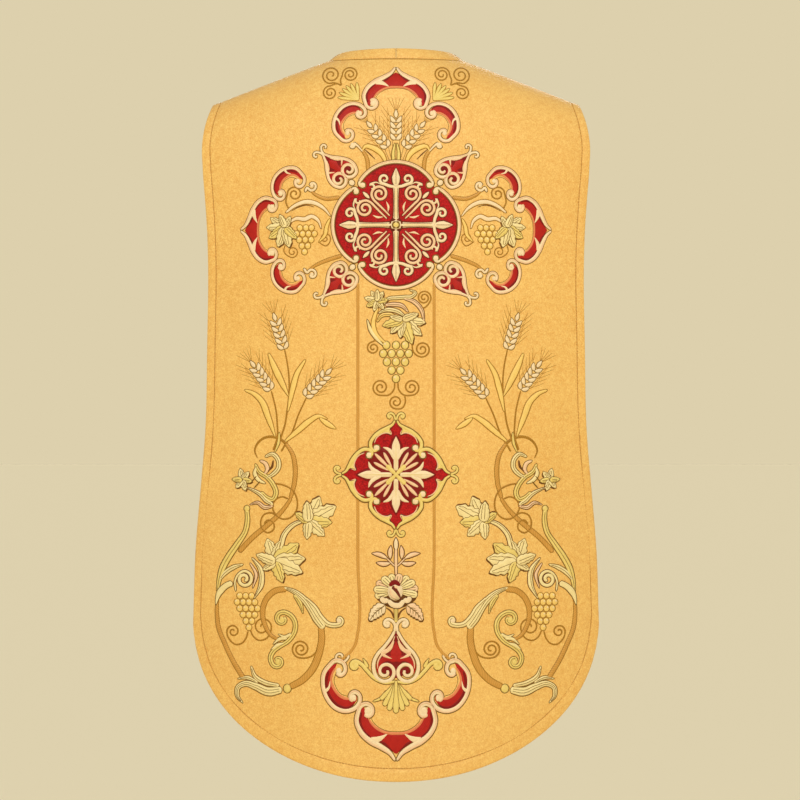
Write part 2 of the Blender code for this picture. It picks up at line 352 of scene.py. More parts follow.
def lame_cloth(name, dark, light, roughness, shine, sheen):
    """Pebbled lame: crinkled foil yarn in a close weave, which glitters softly and stays even from afar.

    The pebble is drawn 2.1 mm wide, about twice the real one, so that it shows.
    """
    made, tree, shader = new_material(
        name,
        {
            "Roughness": roughness,
            "Specular IOR Level": shine,
            "Sheen Weight": sheen,
            "Sheen Roughness": 0.4,
        },
    )
    at = {"Vector": add(tree, "ShaderNodeTexCoord").outputs["Object"]}
    pebble = add(tree, "ShaderNodeTexVoronoi", {"Scale": 1 / PEBBLE_SIZE, "Randomness": 1.0}, at)
    slub = add(tree, "ShaderNodeTexNoise", {"Scale": 1 / SLUB_SIZE, "Detail": 4.0}, at)
    cloud = add(tree, "ShaderNodeTexNoise", {"Scale": 1 / CLOUD_SIZE, "Detail": 2.0}, at)
    grain = maths(tree, "MULTIPLY", pebble.outputs["Distance"], PEBBLE_SHARE)
    weave = maths(tree, "ADD", grain, slub.outputs["Fac"])
    drift = maths(tree, "MULTIPLY", cloud.outputs["Fac"], CLOUD_SHARE)
    # Painted glitter and shade: the pebble, slub and cloud noise move the colour between the shaded tone and
    # the lit tone.
    shade_of(tree, spread(tree, maths(tree, "ADD", weave, drift), 0.70, 1.60), dark, light, shader)
    raise_bump(tree, shader, weave, 0.55, PEBBLE_RELIEF)
    return made


STITCH_PITCH = 0.0018
STITCH_RELIEF = 0.0003
# Scale of the noise of painted sparkle on the threads
PAINTED_SPARKLE_SCALE = 110.0


def stitched_thread(name, colour, shade, roughness, shine, slant):
    """Embroidery thread in rows of satin stitch: fine parallel threads, with a painted highlight where they
    crown and painted shade between them.

    The threads are drawn 1.8 mm apart, about four times the real spacing, so that they show.
    """
    values = {"Roughness": roughness, "Specular IOR Level": shine, "Sheen Weight": 0.05}
    made, tree, shader = new_material(name, values)
    rows = add(
        tree,
        "ShaderNodeTexWave",
        {"Scale": WAVE_PERIOD / STITCH_PITCH, "Distortion": 0.6, "Detail": 1.0},
        {"Vector": add(tree, "ShaderNodeUVMap", uv_map="stitches").outputs["UV"]},
        bands_direction="DIAGONAL" if slant else "X",
    ).outputs["Fac"]
    at = {"Vector": add(tree, "ShaderNodeTexCoord").outputs["Object"]}
    painted_sparkle = add(tree, "ShaderNodeTexNoise", {"Scale": PAINTED_SPARKLE_SCALE, "Detail": 3.0}, at).outputs["Fac"]
    # Painted highlight, shade and sparkle: the stitch rows and a noise move the colour between the shaded
    # tone and the lit tone.
    shade_of(tree, spread(tree, maths(tree, "ADD", rows, painted_sparkle), 0.2, 1.5), shade, colour, shader)
    raise_bump(tree, shader, rows, 0.4, STITCH_RELIEF)
    return made


# Material, shaded tone, lit tone, roughness, shine, sheen
GOLD_CLOTH = lame_cloth("golden lame, face", "#E6A94F", "#FBCC71", 0.5, 0.35, 0.06)
RED_LAME = lame_cloth("red lame", "#860E0C", "#CC1D1A", 0.5, 0.12, 0.0)
CLOTH_REVERSE = lame_cloth("golden lame, reverse", "#C98F45", "#DDAE62", 0.75, 0.35, 0.1)
PALE, BROWN, RED = "pale_gold_thread", "brown_gold_braid", "red_applique"
THREAD_ROWS = (
    # thread, material, lit tone, shaded tone, roughness, shine, slanting stitches, record slot
    ("pale", "pale gold rayon satin stitch", "#FDE6B6", "#EBC286", 0.42, 0.25, False, PALE),
    ("cream", "cream gold rayon satin stitch", "#FFEBA6", "#E8C57A", 0.42, 0.25, False, PALE),
    ("rose", "rose cream rayon satin stitch", "#FCD6A2", "#E8B07A", 0.45, 0.25, False, PALE),
    ("lemon", "lemon rayon satin stitch", "#F8DD82", "#DFB84E", 0.42, 0.25, False, PALE),
    ("gold", "gold rayon satin stitch", "#FFDA7A", "#EBB858", 0.42, 0.25, False, PALE),
    ("brown", "brown gold metallic cord", "#DCA24A", "#BE832F", 0.40, 0.25, True, BROWN),
    ("tendril", "tan rayon cord", "#B98428", "#936318", 0.5, 0.2, True, BROWN),
    ("line", "olive rayon outline thread", "#926C26", "#734F18", 0.5, 0.2, True, BROWN),
    ("umber", "umber rayon satin stitch", "#7C4C1A", "#5C3610", 0.5, 0.15, False, BROWN),
    ("maroon", "maroon rayon satin stitch", "#7E3520", "#5E2213", 0.5, 0.12, False, RED),
    ("red", "red rayon satin stitch", "#C42A1E", "#981812", 0.42, 0.12, False, RED),
    ("dark_red", "dark red rayon satin stitch", "#8F1C12", "#68120C", 0.45, 0.12, False, RED),
    ("orange", "orange rayon satin stitch", "#F0955C", "#D26C3E", 0.42, 0.2, False, RED),
)
THREADS = {thread: (stitched_thread(*looks), slot) for thread, *looks, slot in THREAD_ROWS}


# Meshes

def finish_mesh(name, points, faces, uv=None, face_material=None, materials=()):
    """A smooth mesh object whose faces all point out, with the stitches' UV map where one is given."""
    mesh = bpy.data.meshes.new(name)
    mesh.from_pydata(points.reshape(-1, 3).tolist(), [], faces)
    if uv is not None:
        corners = np.empty(len(mesh.loops), dtype=np.int32)
        mesh.loops.foreach_get("vertex_index", corners)
        layer = mesh.uv_layers.new(name="stitches")
        layer.data.foreach_set("uv", uv[corners].astype(np.float32).ravel())
    for finish in materials:
        mesh.materials.append(finish)
    if face_material is not None:
        mesh.polygons.foreach_set("material_index", face_material.astype(np.int32))
    work = bmesh.new()
    work.from_mesh(mesh)
    bmesh.ops.recalc_face_normals(work, faces=work.faces)
    work.to_mesh(mesh)
    work.free()
    mesh.shade_smooth()
    made = bpy.data.objects.new(name, mesh)
    bpy.context.scene.collection.objects.link(made)
    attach(made, "root")
    return made


def grid_faces(index):
    """Four-sided faces between neighbouring points of a grid."""
    corners = [index[:-1, :-1], index[1:, :-1], index[1:, 1:], index[:-1, 1:]]
    return np.stack(corners, axis=-1).reshape(-1, 4)


def wall_faces(rows, columns):
    """Faces of a closed wall between two grids: its outer face, its inner face, the strip round its edge."""
    index = np.arange(rows * columns).reshape(rows, columns)
    below = rows * columns
    round_edge = np.concatenate([index[0, :-1], index[:-1, -1], index[-1, :0:-1], index[:0:-1, 0]])
    onward = np.roll(round_edge, -1)
    strip = np.stack([round_edge, onward, onward + below, round_edge + below], axis=-1)
    outer = grid_faces(index)
    return np.concatenate([outer, grid_faces(index + below)[:, ::-1], strip]), len(outer)


def wall(name, outer, inner):
    """A cloth wall between its outer and inner grids, with the reverse of the cloth inside."""
    faces, outer_count = wall_faces(*outer.shape[:2])
    made = finish_mesh(
        name,
        np.concatenate([outer.reshape(-1, 3), inner.reshape(-1, 3)]),
        faces.tolist(),
        face_material=(np.arange(len(faces)) >= outer_count).astype(int),
        materials=(GOLD_CLOTH, CLOTH_REVERSE),
    )
    return made


# Panels

EDGE_PLACES = np.array([0.0, 0.0004, 0.0012, 0.004, 0.009, 0.012, 0.014, 0.016, 0.020, 0.026])
NECK_COLUMNS = 40
SHOULDER_COLUMNS = 28
PANEL_ROWS = 150
ROW_CROWDING = 1.25
STITCH_LINE = 0.0135
HEM_STITCH_LINE = 0.0200
HEM_STITCH_TURN = 0.6
GROOVE_DEPTH = 0.0006
GROOVE_HALF_WIDTH = 0.0022
PUFF = 0.0005
BATCH = 64


def column_places():
    """Columns from edge to edge, as shares of the half width, closer together by the neck and the edges."""
    neck = NECK_HALF_WIDTH / TIP_HALF_WIDTH
    inner = neck * np.sin(0.5 * math.pi * np.arange(NECK_COLUMNS + 1) / NECK_COLUMNS)
    edge = 1 - EDGE_PLACES[::-1] / TIP_HALF_WIDTH
    outer = np.linspace(neck, edge[0], SHOULDER_COLUMNS + 2)[1:-1]
    half = np.concatenate([inner, outer, edge])
    return np.concatenate([-half[:0:-1], half])


def row_places(side):
    """Rows from the top edge to the hem, as shares of the way down, closer together at both ends."""
    edge = EDGE_PLACES / full_fall(side)
    middle = np.linspace(edge[-1] ** (1 / ROW_CROWDING), (1 - edge[-1]) ** (1 / ROW_CROWDING), PANEL_ROWS)
    return np.concatenate([edge[:-1], middle**ROW_CROWDING, 1 - edge[-2::-1]])


def panel_grid(side):
    """Columns and falls of one panel, from its top edge to its hem."""
    u = column_places()[None, :]
    f = row_places(side)[:, None]
    hem_start, hem_half_width = HALF_WIDTHS[side][-1]
    edge_fall = f * fall_at_height(hem_half_width, hem_start)
    edge_height = cloth_point(np.full_like(edge_fall, TIP_HALF_WIDTH), edge_fall, side)[..., 2]
    x = u * through_rows(edge_height, HALF_WIDTHS[side])
    top = neck_fall(u * TIP_HALF_WIDTH, side)
    hem_x = u * hem_half_width
    hem = fall_at_height(hem_x, hem_height(hem_x, side))
    return x, top + f * (hem - top)


def edge_distance(points, edge):
    """Distance of each grid point from the nearest point of an edge."""
    flat = points.reshape(-1, 3)
    nearest = np.full(len(flat), np.inf)
    for start in range(0, len(edge), BATCH):
        gap = np.linalg.norm(flat[:, None, :] - edge[None, start : start + BATCH, :], axis=-1)
        nearest = np.minimum(nearest, gap.min(axis=1))
    return nearest.reshape(points.shape[:-1])


def rolled(distance):
    """How far a face drops towards the rounded rim of the wall."""
    half = WALL / 2
    return half - np.sqrt(half**2 - (half - np.clip(distance, 0, half)) ** 2)


def stitch_line(z, side):
    """How far inside the edge its stitching lies: further in round the hem."""
    start = HALF_WIDTHS[side][-1][0]
    share = np.clip((start - z) / (start - HEM_BOTTOM[side]), 0.0, 1.0)
    return STITCH_LINE + (HEM_STITCH_LINE - STITCH_LINE) * share**HEM_STITCH_TURN


def cloth_panel(name, side):
    """A panel: both faces on the creased cloth, a rolled rim, and a stitched groove inside the free edges.

    Between the groove and the edge the cloth puffs up as a parabola, and the groove is a bell curve.
    """
    x, fall = panel_grid(side)
    plain = cloth_point(x, fall, side)
    free_edge = np.concatenate([plain[:, 0], plain[-1], plain[:, -1]])
    to_free = edge_distance(plain, free_edge)
    to_top = edge_distance(plain, plain[0])
    line = stitch_line(plain[..., 2], side)
    groove = np.exp(-(((to_free - line) / GROOVE_HALF_WIDTH) ** 2))
    puff = np.clip(to_free / line, 0, 1) * np.clip(1 - to_free / line, 0, 1) * 4
    relief = PUFF * puff - GROOVE_DEPTH * groove
    rim = np.maximum(rolled(to_free), rolled(to_top))
    outer = above_cloth(x, fall, side, relief - rim)
    inner = above_cloth(x, fall, side, rim - WALL)
    for points in (outer, inner):
        points[..., 1] = side * np.maximum(side * points[..., 1], SEAM_GAP / 2)
    made = wall(name, outer, inner)
    return made


# Neck band

BAND_STATIONS = 40
BAND_ROWS = np.array([0.0, 0.03, 0.09, 0.2, 0.35, 0.5, 0.65, 0.8, 0.91, 0.97, 1.0])
BAND_CROWN = 0.0007


def on_either_side(work, x, fall, side):
    """work(x, fall, side) for places that lie partly on the back and partly on the front."""
    return np.where((side == BACK)[:, None], work(x, fall, BACK), work(x, fall, FRONT))


def neck_band(name, hand):
    """Half of the neck band: a crowned strip that rises from the neck seam, rounded at its fold."""
    quarter = 0.5 * math.pi
    back_turn = quarter * np.arange(BAND_STATIONS) / BAND_STATIONS
    turn = np.concatenate([back_turn, [quarter], back_turn[::-1]])
    side = np.concatenate([np.full(BAND_STATIONS, BACK), np.full(BAND_STATIONS + 1, FRONT)])
    x = np.maximum(NECK_HALF_WIDTH * np.sin(turn), SEAM_GAP / 2)
    fall = np.where(side == BACK, neck_fall(x, BACK), neck_fall(x, FRONT))
    x = hand * x
    edge = on_either_side(cloth_point, x, fall, side)
    normal = on_either_side(cloth_normal, x, fall, side)
    along = np.gradient(edge, axis=0)
    along[0] = along[-1] = (hand, 0.0, 0.0)
    along[-1] *= -1
    along /= np.linalg.norm(along, axis=1, keepdims=True)
    inward = np.cross(normal, along) * hand
    lift = hermite(np.linspace(0, 1, len(x)), np.array([0.0, 0.5, 1.0]), np.array(BAND_LIFTS))
    upward = inward + lift[:, None] * np.array([0.0, 0.0, 1.0])
    upward[[0, -1], 0] = 0.0
    upward /= np.linalg.norm(upward, axis=1, keepdims=True)
    face = np.cross(along, upward) * hand
    foot = edge + inward * SEAM_GAP
    rise = BAND_ROWS[:, None, None]
    rim = rolled(np.minimum(BAND_ROWS, 1 - BAND_ROWS) * BAND_WIDTH)[:, None, None]
    crown = 4 * BAND_CROWN * rise * (1 - rise)
    facing = normal + (face - normal) * rise
    outer = foot + upward * BAND_WIDTH * rise + facing * (crown - rim)
    inner = foot + upward * BAND_WIDTH * rise + facing * (rim - WALL)
    for points in (outer, inner):
        points[..., 0] = hand * np.maximum(hand * points[..., 0], SEAM_GAP / 2)
    made = wall(name, outer, inner)
    return made


# Embroidery: strokes drawn in millimetres across the back and down from the neck seam

SPACING = 1.7
FEWEST_STEPS = 4
BURIED = -0.25
COIL_POINTS_A_TURN = 10
COIL_TIGHTENING = 1.2
PROFILES = {
    # profile: rows of (place across the stroke, share of its height)
    "crowned": ((-1.0, 0.0), (-0.72, 0.8), (0.0, 1.0), (0.72, 0.8), (1.0, 0.0)),
    "fine": ((-1.0, 0.0), (0.0, 1.0), (1.0, 0.0)),
    "flat": ((-1.0, 0.0), (-0.93, 1.0), (0.93, 1.0), (1.0, 0.0)),
    "padded": ((-1.0, 0.0), (-0.92, 0.98), (-0.4, 1.0), (0.4, 1.0), (0.92, 0.98), (1.0, 0.0)),
    "broad": (
        (-1.0, 0.0), (-0.97, 1.0), (-0.6, 1.0), (-0.2, 1.0), (0.2, 1.0), (0.6, 1.0), (0.97, 1.0), (1.0, 0.0)
    ),
}
DOT_PLACES = np.array([-0.985, -0.8, -0.45, 0.0, 0.45, 0.8, 0.985])
DOT_EDGE_STEEPNESS = 2.5
END_TAPER = 0.35
RIM_END_TAPER = 0.6
FINE_BELOW = 0.8
RIM_HEIGHT = 0.22
OVERLAP = 0.06
THINNEST = 0.06
RIB_HALF_WIDTH = 0.45
RIB_RISE = 0.08
RIB_FALL = 0.3
TINT_PLACE = 0.5
TINT_SHARE = 0.4
STROKES = {}


def coil(start, centre, turns, inner=0.25):
    """Points that wind from start round centre, closing evenly to a share of the first distance.

    Turns above 0 run clockwise as the back is seen.
    """
    reach = np.subtract(start, centre)
    share = np.linspace(0, 1, int(abs(turns) * COIL_POINTS_A_TURN) + 2)[1:]
    angle = math.atan2(reach[1], reach[0]) + 2 * math.pi * turns * share
    radius = math.hypot(*reach) * (1 + (inner - 1) * share**COIL_TIGHTENING)
    return np.array(centre) + np.stack([np.cos(angle), np.sin(angle)], axis=-1) * radius[:, None]


def route(points, first=None, last=None, count=None):
    """A smooth line through points, which may wind into a coil (centre, turns) at either end."""
    parts = [np.array(points, dtype=float)]
    if first:
        parts.insert(0, coil(points[0], *first)[::-1])
    if last:
        parts.append(coil(points[-1], *last))
    line = np.concatenate(parts)
    places = np.concatenate([[0.0], np.cumsum(np.hypot(*np.diff(line, axis=0).T))])
    count = count or max(int(places[-1] / SPACING), FEWEST_STEPS) + 1
    return hermite(np.linspace(0, places[-1], count), places, line)


def lay(piece, centre, half, height, profile="crowned"):
    """Keeps strokes for a piece: arrays of (stroke, station, 2) for the middle line and the half width.

    The height is given for every station, and the foot of each profile is in the cloth.
    """
    across, share = np.array(PROFILES[profile]).T
    flat = centre[..., None, :] + half[..., None, :] * across[:, None]
    crown = np.broadcast_to(np.asarray(height, dtype=float), centre.shape[:-1])[..., None] * share
    lift = np.where(share == 0, BURIED, crown)
    along = np.cumsum(np.linalg.norm(np.diff(centre, axis=1, prepend=centre[:, :1]), axis=-1), axis=1)
    width = np.linalg.norm(half, axis=-1)[..., None] * across
    uv = np.stack([np.broadcast_to(along[..., None], width.shape), width], axis=-1)
    STROKES.setdefault(piece, []).append((flat, lift, uv))


class Pen:
    """Draws one region's strokes, each repeated at all of the pen's places.

    A place is (matrix, origin): a point p of the motif lies at p @ matrix + origin on the back.
    A stroke is given as its thread, its middle line, its widths along it and its height off the cloth.
    """

    def __init__(self, region, *places):
        self.region = region
        self.places = [
            (np.array(matrix, dtype=float), np.array(origin, dtype=float)) for matrix, origin in places
        ]

    def put(self, thread, centre, half, height, profile="crowned"):
        """Keeps one stroke at every place."""
        middles = np.stack([centre @ matrix + origin for matrix, origin in self.places])
        halves = np.stack([half @ matrix for matrix, origin in self.places])
        lay(f"{self.region}_{thread}", middles, halves, height, profile)

    def satin(self, thread, points, width, height=0.7, rim="line", **more):
        """A stroke with an outline."""
        self.stroke(thread, points, width, height, rim=rim, **more)

    def ribbed(self, thread, points, width, height=0.7, **more):
        """An outlined stroke with a rib along its middle."""
        self.satin(thread, points, width, height, ribs=(0.0,), **more)

    def stroke(
        self,
        thread,
        points,
        width,
        height=0.7,
        first=None,
        last=None,
        rim=None,
        rim_width=1.0,
        ribs=(),
        tint=None,
        profile="crowned",
    ):
        """A stroke of the given widths, spaced evenly along it, which may coil at either end.

        A darker rim goes round its foot where one is named, fine ribs run along it at shares of its half
        width, and a tint is a second thread on its outer half.
        """
        line = route(points, first, last)
        ahead = np.gradient(line, axis=0)
        ahead /= np.maximum(np.linalg.norm(ahead, axis=1, keepdims=True), 1e-9)
        across = np.stack([-ahead[:, 1], ahead[:, 0]], axis=-1)
        widths = np.atleast_1d(np.array(width, dtype=float))
        half = 0.5 * np.interp(np.linspace(0, 1, len(line)), np.linspace(0, 1, len(widths)), widths)
        half[[0, -1]] *= END_TAPER
        half = np.maximum(half, THINNEST)
        padded = profile == "padded"
        if rim:
            lift = height - OVERLAP if padded else RIM_HEIGHT + max(height - 1.0, 0.0)
            self.rim(rim, line, ahead, across, half + rim_width, rim_width, lift)
        thin = profile == "crowned" and half.max() < FINE_BELOW
        self.put(thread, line, across * half[:, None], height, "fine" if thin else profile)
        if tint:
            middle = line - across * (TINT_PLACE * half)[:, None]
            self.put(tint, middle, across * (TINT_SHARE * half)[:, None], height + RIB_RISE, "flat")
        for rib in ribs:
            inner = slice(2, -2)
            offset = (line + across * (half * rib)[:, None])[inner]
            lift = height * (1 if padded else 1 - RIB_FALL * abs(rib)) + RIB_RISE
            self.put("line", offset, across[inner] * RIB_HALF_WIDTH, lift, "flat")

    def rim(self, thread, line, ahead, across, half, reach, lift):
        """The outline round a stroke, which also passes its two ends."""
        line, half = line.copy(), half.copy()
        line[0] -= ahead[0] * reach
        line[-1] += ahead[-1] * reach
        half[[0, -1]] *= RIM_END_TAPER
        self.put(thread, line, across * half[:, None], lift, "flat")

    def fill(self, thread, one, other, height=0.45):
        """A filled shape between two lines that meet at their ends."""
        count = max(len(route(one)), len(route(other)))
        left, right = route(one, count=count), route(other, count=count)
        middle, half = (left + right) / 2, (right - left) / 2
        thin = np.linalg.norm(half, axis=1, keepdims=True)
        half = np.where(thin < THINNEST, THINNEST, half)
        self.put(thread, middle, half, height)

    def dots(self, thread, centres, radius, height=0.8, rim=None, rim_width=1.0, squash=1.0, flat=False):
        """Round padded dots, squash times as wide as they are high."""
        if rim:
            lift = RIM_HEIGHT + max(height - 1.0, 0.0)
            self.dots(rim, centres, radius + rim_width, lift, squash=squash, flat=True)
        round_off = np.sqrt(1 - DOT_PLACES**2)
        lift = height * (np.minimum(DOT_EDGE_STEEPNESS * round_off, 1) if flat else round_off)
        half = np.stack([round_off * radius * squash, 0 * DOT_PLACES], axis=-1)
        for centre in centres:
            middle = np.array(centre) + np.stack([0 * DOT_PLACES, DOT_PLACES * radius], axis=-1)
            self.put(thread, middle, half, lift, "flat" if flat else "crowned")


HERE = ((1, 0), (0, 1))
ACROSS = np.array(((-1, 0), (0, 1)))
MIDDLE = (HERE, (0, 0))


def both(origin=(0, 0), matrix=HERE):
    """A place and its mirror image across the centre line of the back."""
    m = np.array(matrix, dtype=float)
    return ((m, origin), (m @ ACROSS, np.array(origin) * (-1, 1)))


def halves(places):
    """Each place of a motif drawn as its right half, with the place of its left half."""
    return [*places, *[(ACROSS @ np.array(matrix), origin) for matrix, origin in places]]


def quarters(centre, first=0):
    """The four places round a centre, the first of them turned by an angle in degrees."""
    return [(turned(first + angle), centre) for angle in (0, 90, 180, 270)]


def turned(angle):
    """A motif turned clockwise by an angle in degrees."""
    c, s = math.cos(math.radians(angle)), math.sin(math.radians(angle))
    return ((c, s), (-s, c))


def polar(centre, radius, angle, squash=1.0):
    """The point at an angle in degrees, clockwise from the right."""
    turn = math.radians(angle)
    return (centre[0] + radius * math.cos(turn), centre[1] + radius * squash * math.sin(turn))


def mirrored(points):
    """A line given as its right half, from the axis out, drawn whole from its left end to its right end."""
    right = np.array(points, dtype=float)
    return np.concatenate([(right * (-1, 1))[::-1], right[right[:, 0] > 0]])


def ogee(axis, half):
    """The ogee at an arm's tip, from the tip inwards: red between a pale border and an orange lining."""
    lining = [(0, 33), (12, 34), (23, 38.5), (30.5, 45), (35, 53), (37, 59), (40, 63)]
    axis.fill(
        "red", mirrored([(0, 9), (7, 14.5), (18, 21), (32, 27), (42, 36), (46.5, 47), (45, 57), (40, 63)]),
        mirrored(lining)
    )
    axis.stroke("orange", mirrored(lining[:-2]), (2, 3.4, 3.6, 3.6, 3.4, 2), 0.65)
    axis.stroke("line", mirrored([(0, 35.2), (11.3, 36), (21.6, 40.4), (28.3, 46.4), (32, 54)]), 1.1, 0.5)
    half.stroke("dark_red", [(4, 13), (14, 21.5), (26, 27)], (1, 4, 1), 0.6)
    half.stroke("dark_red", [(31, 29), (40, 36), (44.5, 46), (42.5, 57)], (2, 5, 6, 4), 0.6)
    half.stroke("pale", [(31, 24.5), (19.5, 27.5), (10.5, 32.5)], (11, 7.5, 1), 0.75)
    half.satin(
        "pale", [(1, 3), (7, 11), (18, 18), (32, 25), (43, 35), (48, 47), (46, 57)],
        (3, 6.4, 7.4, 7, 6.2, 5.6, 5.4, 5.6), 0.9, last=((35.5, 57), 0.9), tint="rose"
    )
    half.dots("pale", [(34.5, 58)], 4.8, 1.1)


def c_scroll(pen):
    """The C scroll beside the ogee, drawn on the right."""
    lining = [(50, 76), (55, 73), (62, 72), (71, 75), (79, 83), (83, 92), (81, 101), (77, 107), (75, 112)]
    pen.fill(
        "red",
        [(50, 70), (56, 63), (65, 59.5), (77, 63), (87, 74), (92, 87), (91, 99), (84, 109), (75, 112)],
        lining
    )
    pen.stroke("orange", lining[1:-1], (2, 3.4, 3.6, 3.6, 3, 2), 0.65)
    pen.stroke("line", [(61, 74.8), (70.4, 77.8), (76.8, 85.4), (79, 93), (76, 102)], 1.1, 0.5)
    pen.stroke("pale", [(91, 80), (86, 84), (84, 92)], (6, 3.4, 0.8), 0.75)
    pen.stroke(
        "dark_red", [(53, 67), (60, 62.5), (70, 62.5), (80, 69), (87, 79), (89, 91), (86, 103)],
        (1, 4, 5, 5, 5, 5, 3), 0.6
    )
    pen.satin(
        "pale", [(46, 70), (52, 62), (64, 58.5), (77, 62), (88, 73), (93, 87), (92, 100), (84, 110)],
        (5, 5.4, 5.6, 5.6, 5.6, 5.4, 5), 0.9, first=((54, 73), -0.8), last=((73, 104), 0.8), tint="rose"
    )
    pen.dots("pale", [(54, 73), (73, 103)], 4.0, 1.1)


GRAIN = ((0.4, 0), (4.6, 3), (8, 9))
GRAIN_WIDTHS = (2.4, 6.0, 6.6, 5.0, 0.9)
TOP_GRAIN_WIDTHS = (2.4, 6, 6.6, 4.4, 0.8)
AWNS = ((0.15, 15), (0.6, 18))
TIP_AWN_LEANS = (-0.55, -0.28, 0.0, 0.28, 0.55)


def ear(pen, base, tip, rows=4, size=1.0):
    """An ear of wheat: pairs of plump grains in chevrons up the stalk, one at the top, with fine awns."""
    base, tip = np.array(base, dtype=float), np.array(tip, dtype=float)
    up = (tip - base) / np.linalg.norm(tip - base)
    out = np.array([-up[1], up[0]])
    step = (tip - base) / rows
    for row in range(rows):
        foot = base + step * row
        for hand in (-1, 1):
            side = out * hand * size
            root, middle, end = [foot + up * rise * size + side * reach for reach, rise in GRAIN]
            for lean, reach in AWNS:
                awn = [middle, end + side * 1.6, end + side * 3.6 + (up + out * hand * lean) * reach * size]
                pen.stroke("tendril", awn, (1.5, 1.3, 0.9), 0.3)
            pen.satin("pale", [root, middle, end], GRAIN_WIDTHS, 1.0, rim_width=0.9)
    start = tip + up * 6 * size
    for lean in TIP_AWN_LEANS:
        pen.stroke("tendril", [start, start + (up + out * lean) * 23 * size], (1.6, 1.0), 0.3)
    pen.satin("pale", [tip - up * 2.5, tip + up * 10 * size], TOP_GRAIN_WIDTHS, 1.1, rim_width=0.9)


def blade(pen, points, width, thread="gold"):
    """A long leaf blade."""
    pen.satin(thread, points, (3.0, 0.9 * width, 1.1 * width, 0.85 * width, 1.4), 0.6, rim="tendril")


LOBE_THREADS = ("cream", "cream", "lemon")
LOBE_RIBS = ((-0.1, 0.5), (-0.5, 0.05))
LOBE_STEP = 0.13
LOBE_TEETH = np.array([0.45, 0.75, 0.9, 1.0, 0.78, 0.95, 0.62, 0.72, 0.36, 0.1])


def lobed_leaf(pen, centre, tips, width=0.55, shadow=(1.6, 1.8)):
    """A vine leaf: a toothed, veined lobe to each tip, laid over the one before, above an umber shadow.

    A lobe is width times as wide as it is long.
    """
    centre = np.array(centre, dtype=float)
    reaches = np.array(tips, dtype=float) - centre
    teeth = [LOBE_TEETH * width * np.linalg.norm(reach) for reach in reaches]
    for reach, widths in zip(reaches, teeth):
        pen.stroke("umber", [centre + shadow, centre + reach + shadow], widths + 1.2, 0.3)
    for i, (reach, widths) in enumerate(zip(reaches, teeth)):
        thread = LOBE_THREADS[i % len(LOBE_THREADS)]
        lobe = [centre, centre + reach]
        ribs = LOBE_RIBS[i % len(LOBE_RIBS)]
        pen.satin(thread, lobe, widths, 0.5 + LOBE_STEP * i, rim_width=0.9, ribs=ribs, profile="padded")


def spiral(pen, points, centre, turns, width=2.8, thread="tendril"):
    """A thin tendril that winds up at its end."""
    pen.stroke(thread, points, width, 0.5, last=(centre, turns, 0.14))


def grapes(pen, rows, radius, thread="gold", rim="tendril"):
    """Plump dots in rows of (down, places across), each with a small painted highlight towards its upper
    left.
    """
    centres = [(across, down) for down, row in rows for across in row]
    pen.dots(thread, centres, radius, 1.0, rim=rim, rim_width=0.9)
    # Pale dots towards the upper left of the grapes: painted highlights.
    lights = np.array(centres) - 0.3 * radius
    pen.dots("pale", lights, 0.36 * radius, 1.2)


# The cross

def cross():
    """Arms, wheat, corner spirals and the four hearts round the medallion."""
    arms = [((0, 18), HERE), ((-236, 266), ((0, 1), (0.86, 0))), ((236, 266), ((0, 1), (-0.86, 0)))]
    places = [(matrix, origin) for origin, matrix in arms]
    foot = [(((1.22, 0), (0, -1.34)), (0, 1063))]
    ogee(Pen("cross", *places, *foot), Pen("cross", *halves(places + foot)))
    c_scroll(Pen("cross", *halves(places + [(((1.17, 0), (0, -1.33)), (0, 1063))])))

    pen = Pen("cross", *both())
    spiral(pen, [(-82, 48), (-93, 43.5), (-102, 44)], (-97.5, 31), 1.9, 2.6)
    spiral(pen, [(-82, 47.5), (-83.5, 40), (-81, 32)], (-69, 31), 2.1, 2.6)
    spiral(pen, [(-82, 48), (-89, 45), (-98, 48)], (-99, 59), -1.9, 2.6)
    for angle, reach in ((-172, 31), (-158, 31), (-144, 30), (-130, 29), (-115, 28), (-96, 27)):
        pen.satin(
            "lemon", [(-56, 71), polar((-56, 71), reach, angle)], (1.5, 3, 4.4, 5.4, 2.6), 0.6,
            rim="tendril", rim_width=0.8
        )

    pen.satin(
        "brown", [(-58, 141), (-51, 147), (-45, 156), (-41, 180)], (2.4, 4.6, 5.4, 5.4), 0.55,
        rim="tendril", rim_width=0.7
    )
    pen.satin("pale", [(-63, 137), (-57, 141), (-50, 149)], (4.4, 4, 2), 0.8, first=((-66, 140), 0.7))
    pen.dots("pale", [(-65, 139)], 3.6, 0.9)
    for foot_at, tip in ((-8, -22), (-5, -14), (-2.5, -6)):
        pen.stroke("line", [(foot_at, 167), ((foot_at + tip) / 2, 150), (tip, 130)], 1.1, 0.45)
    blade(pen, [(-14, 168), (-22, 152), (-33, 144), (-46, 141.5), (-51, 149)], 8)
    pen.stroke("umber", [(-48, 145), (-40, 152), (-31, 161)], (1, 2.2, 1), 0.7)
    pen.satin("lemon", [(-3.5, 167), (-4, 150), (-1.5, 137)], (5, 5, 2), 0.5)
    ear(pen, (-13, 142), (-38, 111), 4, 0.92)
    ear(Pen("cross", MIDDLE), (0, 131), (0, 96), 4, 1.0)
    side_arms(pen)
    hearts()


